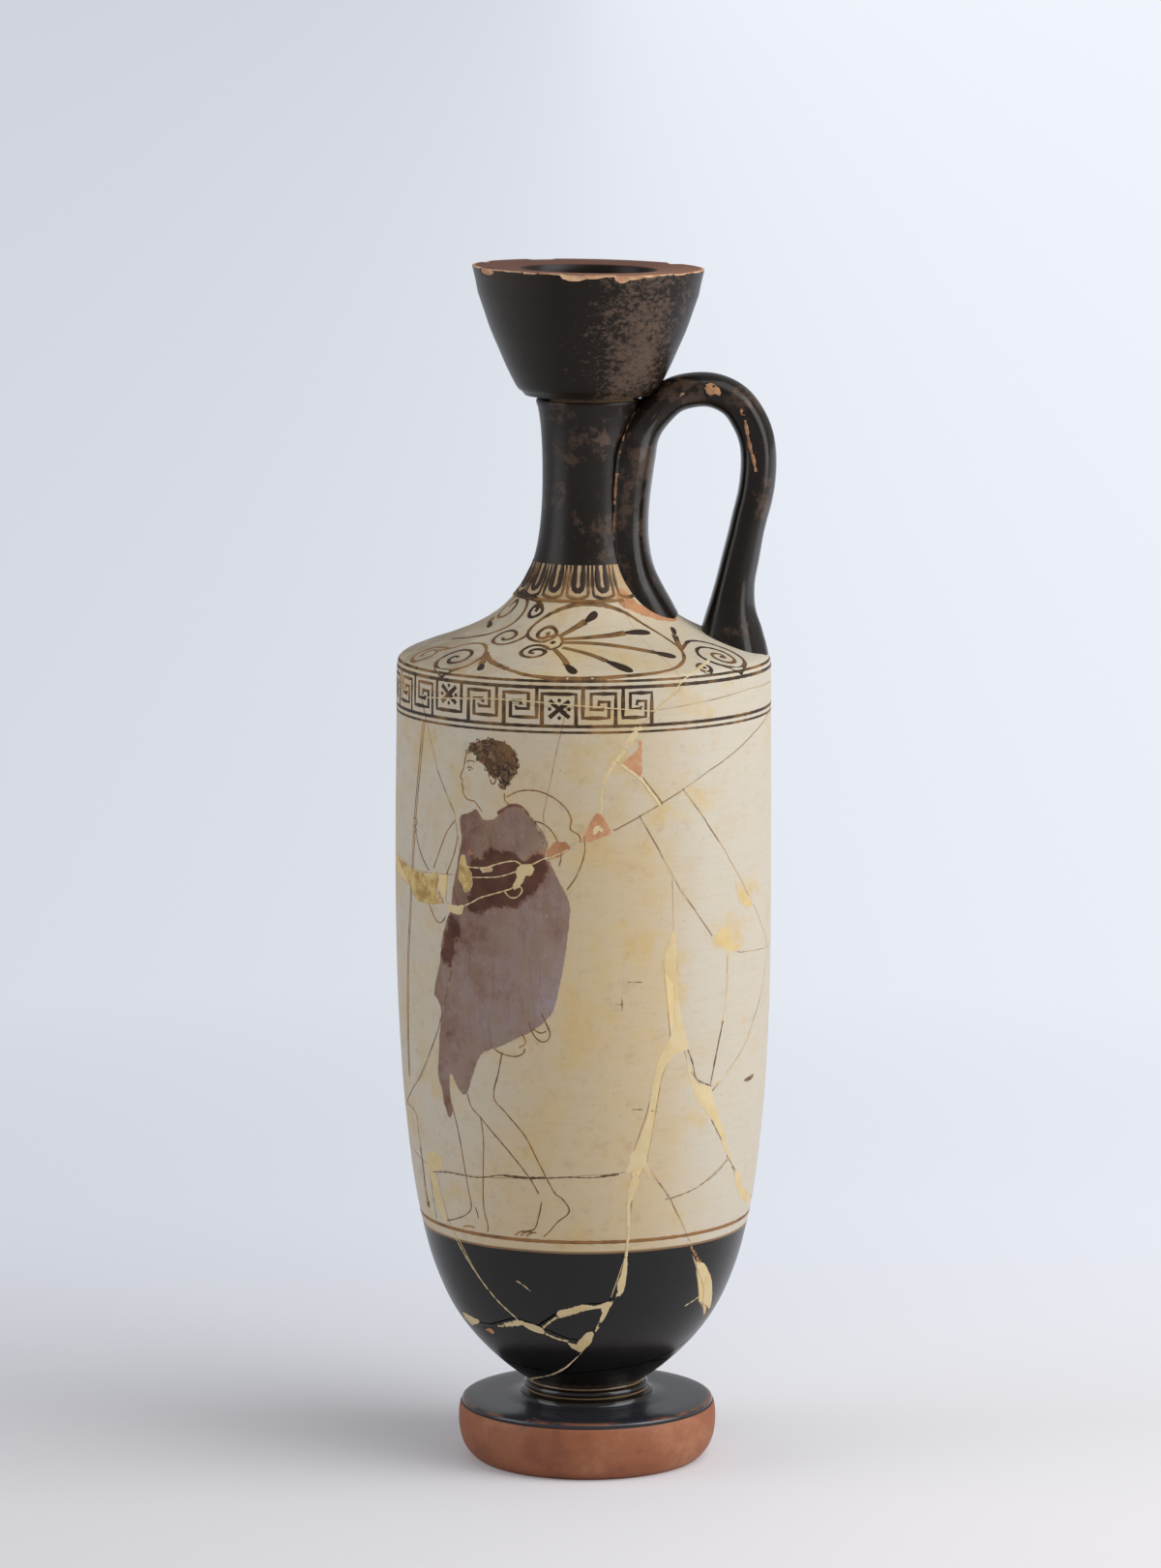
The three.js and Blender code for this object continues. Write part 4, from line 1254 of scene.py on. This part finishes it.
def paint_figure(suffix, place):
    wash = Painting("cloak_wash" + suffix, place, MAUVE, "red_clay", 0.03)
    wash.patch(degrees_to_arc(cloak), rough=0.12, folds=[degrees_to_arc(area) for area in cloak_dark])
    wash.finish()
    folds = Painting("cloak_edge" + suffix, place, MAROON, "red_clay", 0.05)
    folds.stroke(degrees_to_arc(cloak_edge), 1.1, end_width=0.6)
    folds.finish()
    cap = Painting("hair_wash" + suffix, place, HAIR, "black_gloss", 0.04)
    cap.patch(degrees_to_arc(hair))
    cap.finish()
    lines = Painting("figure_lines" + suffix, place, CONTOUR, "black_gloss", 0.06)
    for path in figure_lines:
        lines.stroke(degrees_to_arc(path), 0.37, waver=0.2)
    for side in (-0.55, 0.45):
        lines.stroke(degrees_to_arc([(degrees + side, z) for degrees, z in spear]), 0.35)
    lines.stroke(degrees_to_arc([(-36.7, 219.2), (-36.2, 219.1)]), 0.5, tone=0.2)
    lines.finish()
    curls = Painting("hair_curls" + suffix, place, LINES, "black_gloss", 0.07)
    for _ in range(420):
        u, z = rng.uniform(-37.5, -19.5), rng.uniform(213.5, 229)
        if not inside(hair, u, z):
            continue
        size = rng.uniform(0.35, 0.7)
        turn = rng.uniform(0, 6.28)
        curl = around(u, z, size, [turn + a for a in (0, 1.2, 2.4, 3.4)])
        curls.stroke(degrees_to_arc(curl), 0.3, tone=0.10)
    curls.finish()


build_wall()
build_mouth()
build_neck()
build_foot()
build_handle()
build_bands()
build_shoulder_ornament("", shoulder_point)
build_shoulder_ornament("_far", lambda u, v, lift: shoulder_point(*mirrored_shoulder(u, v), lift))
build_tongues()
paint_figure("", wall_point)
paint_figure("_far", lambda arc, z, lift: wall_point(mirrored_wall(arc), z, lift))


# Restoration on the photographed side, in degrees right of the front and height
cream_areas = [
    [(17, 234), (18, 232.5), (15.5, 230), (12.5, 225.5), (9, 221), (6.5, 216.5), (6, 212.5), (5.8, 207.2),
     (4.7, 208), (5, 214), (5.7, 218.5), (8.6, 223), (13, 228), (15, 232)],
    [(16, 234.5), (17.7, 232.5), (14.4, 228.3), (11.6, 228), (14.4, 231.8)],
    [(27.5, 172), (29, 170), (29, 160.5), (30, 151), (31, 144), (32.5, 139.5), (34, 133.5), (33, 135),
     (29.5, 134.3), (26, 131.3), (23, 125.5), (21.7, 117), (20.4, 106.5), (20.2, 102), (22.5, 96.6),
     (20.8, 96.7), (19.2, 99.8), (13.4, 98.5), (12.4, 99.5), (14.5, 101.6), (14.4, 105), (17, 106.3),
     (20.5, 118.5), (21, 124.3), (22.8, 131.6), (27, 140), (28.2, 143), (28, 155.5), (25, 159.3),
     (24.8, 165), (26.6, 168)],
    [(33, 135), (35, 127.5), (37, 124.3), (43, 122.8), (44, 119), (50, 108.4), (52.6, 102.7), (59, 94.2),
     (55.5, 96.6), (52.2, 100.5), (44.4, 111.8), (36.8, 120), (35, 123.8), (33.1, 130.6)],
    [(58.4, 94.3), (63, 93), (64.8, 88.6), (78, 82.5), (76.7, 80.2), (64.4, 85), (59, 91)],
    [(16.6, 98.3), (18, 95.4), (16.5, 92.3), (15, 88.6), (15.5, 85.7), (15, 81.5), (14, 84.3), (14, 92),
     (14.7, 96.3)],
    [(-62.3, 99.2), (-56.5, 100.2), (-53, 99), (-53, 95.7), (-57.7, 93.8), (-57.2, 89.2), (-54.4, 79),
     (-56.6, 78), (-60, 85), (-62.2, 90.6), (-63.5, 95.6)],
    [(-19.8, 191.2), (-18, 192.4), (-15.6, 192.4), (-14.6, 190.6), (-15.6, 188.9), (-17.4, 188.6),
     (-18.2, 186.8), (-19.6, 184.8), (-21.2, 184.2), (-21.4, 186), (-20.2, 188.4), (-20.8, 190.2)],
    [(-45.8, 178), (-41, 178), (-37.5, 179), (-39.8, 175), (-44.6, 175.7)],
    [(-66.5, 48.2), (-56.4, 47.5), (-52.3, 47.6), (-55, 45.6), (-64.6, 43.7), (-68.8, 45.3)],
    [(-42.4, 46.8), (-35, 48.7), (-29, 50.2), (-22.5, 49.4), (-17.8, 47.9), (-17.5, 45.6), (-23.5, 46.6),
     (-27.4, 48.3), (-32.7, 47.4), (-41.6, 46.1)],
    [(-11.3, 54.3), (-5.4, 55.8), (-0.7, 57), (4, 56.2), (11.4, 58.7), (9.6, 55.4), (7.3, 51.3),
     (5.4, 49.3), (4.8, 50), (6.4, 53.8), (5.8, 55.3), (0.2, 54.6), (-7.6, 52.5), (-12, 51.5)],
    [(10.8, 58.2), (12, 61), (11.7, 63.8), (13, 66.5), (13.5, 71.2), (14, 72.3), (15, 72.3), (15.2, 67.2),
     (15, 64), (14.4, 60.5), (13, 59)],
    [(-8.4, 43.7), (-4.2, 43), (-1.9, 45), (0.6, 47.3), (4, 47.6), (2.6, 43.4), (-1.9, 39.6), (-6.7, 41.5)],
    [(44, 68.2), (48.4, 66.7), (54.2, 62), (59.7, 56.5), (67.7, 48.2), (56, 52.3), (52.4, 57.6), (47.2, 63),
     (44, 66.5)],
]
cream_lines = [
    ([(11, 222.2), (17, 217.7), (20, 214), (23.4, 209.5)], 0.9),
    ([(14.4, 72.3), (14.7, 79), (14.5, 83), (14, 88.8)], 0.9),
    ([(-52.7, 76.6), (-50, 72), (-44.6, 65), (-37, 56.5), (-29, 50.4)], 0.5),
    ([(-17.5, 46.2), (-13, 44.7), (-7.7, 43.8)], 0.6),
    ([(-18, 48.3), (-15.4, 50), (-11.6, 52.2)], 0.6),
    ([(4.3, 47.5), (5.4, 49.3)], 0.9),
    ([(-1.9, 39.7), (-6.2, 36.6), (-13, 33), (-27, 29.4), (-55.3, 25.7)], 0.5),
    ([(44, 53.2), (47, 54), (50.7, 55.2)], 0.35),
    ([(-26, 63.6), (-23.6, 62.5), (-20.8, 60.6)], 0.35),
    ([(-37.6, 190), (-31, 190.3), (-25.8, 192), (-20.8, 193), (-17.3, 191.6), (-12, 194), (-9.2, 194.8),
      (-4.6, 197)], 0.4),
    ([(-35.5, 187), (-32, 187.3), (-26, 188), (-20, 190), (-17, 191.2)], 0.34),
    ([(-38, 178.3), (-35, 179.7), (-32, 181.3), (-24.4, 183.8), (-21.5, 185), (-19.8, 187.8),
      (-19.3, 189.5)], 0.4),
    ([(-24, 183.6), (-22.2, 182), (-19.8, 182.4), (-18.4, 184.6), (-20, 186)], 0.4),
    ([(-55, 239), (-38.6, 240.3), (-26.4, 241), (-12.3, 240.6), (5.7, 239.2), (16, 238.2),
      (21.8, 237.7)], 0.36),
    ([(21.8, 237.7), (26.6, 241.4), (30.7, 245.8), (36.3, 248.3), (47.8, 250.4)], 0.45),
]
loss_fills = [
    [(1.6, 201.4), (3, 203.6), (4.6, 204.9), (5.6, 203.6), (6.8, 202), (5.4, 201.2), (4.6, 202.6),
     (3.6, 201)],
]
yellow_areas = [
    [(53, 184.5), (56, 180.7), (63, 176.7), (62.4, 175.5), (58, 175), (55.6, 177.5)],
    [(42.6, 168.2), (47.4, 171), (52, 169), (51.4, 166.4), (57, 164), (76, 160.4), (56.4, 163.2),
     (49.6, 162.6), (44, 166.3)],
]
yellow_lines = [
    ([(74.3, 166), (74.8, 157), (74, 147.7), (70.8, 142.3), (62.6, 135.5), (57, 130.4), (49.6, 125),
      (43, 123)], 0.8),
    ([(50.2, 163.2), (49.4, 156.7), (49.2, 150.8), (47.4, 142.2)], 1),
]
old_areas = [
    [(-40.4, 190.5), (-39.6, 193.4), (-37.8, 193.6), (-37.2, 190.6), (-35.6, 188.6), (-35, 185.4),
     (-36.2, 182.6), (-38.2, 182.2), (-39, 184.4), (-40.6, 186)],
    [(-80, 187.4), (-71, 187.3), (-62, 186), (-54.2, 185.7), (-49.8, 187.6), (-49, 184.8), (-50.2, 181),
     (-46.5, 178), (-52.5, 176.7), (-60.7, 176.8), (-65.3, 180.2), (-70, 183.5)],
]
pink_areas = [
    [(16, 230.2), (17.7, 228.8), (18, 220.6), (17.4, 217.7), (15, 219.8), (11, 222.8), (13, 224),
     (15, 225.2)],
    [(4, 208), (5.7, 207), (6.8, 204.6), (9, 201.8), (5.7, 200.7), (-0.8, 198.5), (0.7, 202.5),
     (2.2, 205.3)],
    [(-50.2, 181), (-48.7, 181.8), (-45.3, 177.7), (-47.5, 177.2)],
    [(-32.3, 190.2), (-27.3, 191), (-28.8, 189.5), (-31.5, 188.8)],
    [(-52.7, 44.6), (-45, 45.8), (-46.8, 43), (-51, 43)],
]
clay_areas = [
    [(-10.7, 196.6), (-8.5, 198.8), (-5.6, 199.4), (-4, 197.5), (-6.6, 195.4), (-10.5, 193.8)],
    [(37.4, 76.2), (39.7, 74.2), (45.3, 69), (47.5, 67), (44.2, 67.8), (41, 71.4)],
]
dark_areas = [
    [(57, 122), (62.4, 122.7), (67, 123.3), (66.6, 121.7), (62.6, 121), (58.6, 121.5)],
    [(-68.7, 83), (-65.3, 83.2), (-66.6, 81), (-69.5, 80.8)],
]
dark_lines = [
    ([(33.4, 135), (35.4, 130.4), (37, 125.8), (43, 122.8)], 0.36),
    ([(43.8, 112.3), (46.3, 109), (49.3, 105.3)], 0.3),
    ([(52.6, 100), (56.3, 96.5), (59, 94.2)], 0.3),
    ([(27.3, 89.4), (33.7, 90.3), (39.4, 91.8), (48, 95.2), (53.2, 98.5)], 0.24),
    ([(47.4, 142.2), (45, 133.7), (43, 124.7)], 0.42),
    ([(-60, 93.6), (-50, 95), (-36.7, 95.3), (-27.3, 97), (-15.6, 97), (-4.5, 97.6), (2.5, 97.5),
      (10.7, 98.4)], 0.33),
    ([(-27, 97), (-20, 96.8), (-12.5, 97.2)], 0.66),
    ([(5, 97.8), (11, 98.4)], 0.6),
    ([(15, 118.2), (18.3, 118)], 0.24),
    ([(21, 117.5), (23, 117)], 0.24),
    ([(11.5, 152.7), (11.7, 148)], 0.21),
    ([(9.7, 150.5), (11.9, 150.3)], 0.21),
    ([(13.3, 157), (18, 156.8)], 0.21),
    ([(-43.8, 158), (-45.3, 152.8), (-48, 145), (-51.2, 138), (-54.8, 132.3), (-63.6, 122),
      (-78.6, 112)], 0.24),
    ([(-78.6, 112), (-68.6, 110.5), (-67.8, 104.7), (-67, 99.5)], 0.24),
    ([(-62, 78.8), (-61.8, 87.6), (-62, 93)], 0.24),
    ([(-67.6, 99.8), (-67, 94.3), (-67.5, 88), (-67.4, 83.2)], 0.66),
]


# Bare clay smeared round the handle's inner root, as plan places on the shoulder
root_clay = [
    (9, 15.5), (12, 14.8), (16, 15), (20, 13), (23.5, 10.5), (26, 6), (26.5, 3), (28.5, 8), (27, 12.5),
    (23, 16.5), (18, 19), (12, 20.3), (8.5, 19.5),
]
# Chips and worn places on the handle's side in view, out from the axis and up
handle_chips = [
    [(35.6, 330), (38.2, 331), (40.6, 329), (41.7, 326.4), (38.8, 327), (36.4, 326.2)],
    [(27, 326.6), (29, 328), (31.5, 327.6), (30.2, 326.4), (28.6, 326.2)],
    [(19.5, 319), (20.6, 321.2), (21.6, 322.2), (21.2, 320.6)],
    [(46, 323.2), (47, 323.4), (48.6, 320.6), (48, 319.8), (46.8, 320.6)],
]
handle_scratches = [
    ([(48, 319.5), (48.8, 315), (49.6, 311), (50.6, 307.6), (51.3, 304)], 0.9),
    ([(8.6, 283.5), (8.7, 288), (8.9, 292)], 0.6),
    ([(8.9, 294.5), (9.2, 300), (9.6, 304)], 0.7),
    ([(9.9, 306.5), (10.9, 312), (12.7, 317.5), (15, 322)], 0.35),
]


def grown(outline, by):
    """The outline moved outwards, away from its middle."""
    middle = [sum(point[k] for point in outline) / len(outline) for k in (0, 1)]
    wider = []
    for point in outline:
        scale = 1 + by / math.dist(point, middle)
        wider.append(tuple(m + (c - m) * scale for c, m in zip(point, middle)))
    return wider


def painted(name, place, material, slot, areas, lines=(), lift=0.07, facing=None, grow=0.0):
    painting = Painting(name, place, material, slot, lift, facing)
    for area in areas:
        painting.patch(grown(area, grow), smooth=False, rough=0.16)
    for path, width in lines:
        painting.stroke(path, width, waver=0.3)
    painting.finish()


def build_restoration():
    for name, material, slot, areas, lines, grow in (
        ("bare_losses", PINK_LOSS, "red_clay", pink_areas, (), 0.7),
        ("clay_wash", ORANGE_WASH, "red_clay", clay_areas, (), 0.9),
        ("old_fills", OLD_FILL, "plaster", old_areas, (), 0.2),
        ("yellow_fills", YELLOW_FILL, "plaster", yellow_areas, yellow_lines, 0.8),
        ("cream_fills", CREAM_FILL, "plaster", cream_areas, cream_lines, 0.15),
        ("dark_traces", DARK_TRACE, "plaster", dark_areas, dark_lines, 0.0),
    ):
        areas = [degrees_to_arc(area) for area in areas]
        lines = [(degrees_to_arc(path), width) for path, width in lines]
        painted(name, wall_point, material, slot, areas, lines, grow=grow)
    holes = [degrees_to_arc(area) for area in loss_fills]
    painted("loss_fill", wall_point, CREAM_FILL, "plaster", holes, lift=0.2)
    painted("root_clay", shoulder_point, ORANGE_WASH, "red_clay", [root_clay])
    near = Vector((0, -1, 0))
    painted("handle_chips", handle_side, CHIP_CLAY, "red_clay", handle_chips, handle_scratches, facing=near)


build_restoration()


# Floor, light and camera
camera_distance = 1922.0
camera_height = 496.0
camera_tilt = 8.52
image_height = 1621.0
focal_pixels = 6619.0
axis_shift_pixels = 4.5


def floor_material():
    """Pale paper whose colour carries painted light, darker to the left, lighter to the right and bluer
    further back; its own brightness shows only to rays that look at it directly, more so away from the vase.
    """
    p = Paint("pale_floor", 0.9, 0.1)
    # Painted light: the paper darkens to the left, lightens to the right and turns bluer further back
    share = p.maths("DIVIDE", p.x, p.add(p.maths("ABSOLUTE", p.x), 0.28))
    share = p.scaled(share, 0.5, 0.5)
    near = p.mix(share, (0.575, 0.57, 0.60), (0.865, 0.845, 0.86))
    far = p.mix(share, (0.60, 0.635, 0.705), (0.90, 0.93, 1.0))
    colour = p.mix(p.rise(p.y, 150, 400), near, far)
    p.set("Base Color", colour)
    reach = p.nodes.new("ShaderNodeVectorMath")
    reach.operation = "LENGTH"
    p.put(reach.inputs[0], p.vector)
    lit = p.scaled(p.rise(reach.outputs["Value"], 450, 700), 0.88, 0.12)
    path = p.nodes.new("ShaderNodeLightPath").outputs
    seen = p.most(p.most(path["Is Camera Ray"], path["Is Glossy Ray"]), path["Is Transmission Ray"])
    glow = p.node("Emission", {"Color": colour})
    blend = p.node("MixShader", {0: p.times(lit, seen), 1: p.shader.outputs[0], 2: glow.outputs[0]})
    p.put(p.nodes["Material Output"].inputs["Surface"], blend.outputs[0])
    return p.material


def build_stage():
    bm = bmesh.new()
    bmesh.ops.create_grid(bm, x_segments=40, y_segments=40, size=30)
    floor = object_from(bm, "floor")
    floor.data.materials.append(floor_material())


def area_light(name, azimuth, elevation, distance, size, power):
    light = bpy.data.lights.new(name, "AREA")
    light.shape = "RECTANGLE"
    light.size, light.size_y = size
    light.energy = power
    lamp = bpy.data.objects.new(name, light)
    a, e = math.radians(azimuth), math.radians(elevation)
    target = Vector((0, 0, 0.19))
    away = Vector((math.sin(a) * math.cos(e), -math.cos(a) * math.cos(e), math.sin(e)))
    lamp.location = target + distance * away
    lamp.rotation_euler = (target - lamp.location).to_track_quat("-Z", "Y").to_euler()
    bpy.context.scene.collection.objects.link(lamp)


def build_camera():
    data = bpy.data.cameras.new("camera")
    data.sensor_fit = "VERTICAL"
    data.sensor_height = 36.0
    data.lens = focal_pixels / image_height * data.sensor_height
    data.shift_x = -axis_shift_pixels / image_height
    camera = bpy.data.objects.new("camera", data)
    camera.location = Vector((0, -camera_distance, camera_height)) * MM
    camera.rotation_euler = (math.radians(90 - camera_tilt), 0, 0)
    bpy.context.scene.collection.objects.link(camera)
    bpy.context.scene.camera = camera


build_stage()
area_light("soft_right", 70, 18, 1.6, (1.2, 1.8), 23.5)
area_light("soft_left", -75, 14, 1.6, (1.0, 1.8), 11)
area_light("soft_top", 55, 56, 1.8, (1.5, 1.5), 15)
world = bpy.data.worlds.new("studio")
world.use_nodes = True
world.node_tree.nodes["Background"].inputs["Color"].default_value = (0.84, 0.85, 0.88, 1)
world.node_tree.nodes["Background"].inputs["Strength"].default_value = 0.45
bpy.context.scene.world = world
bpy.context.scene.view_settings.view_transform = "Standard"
build_camera()
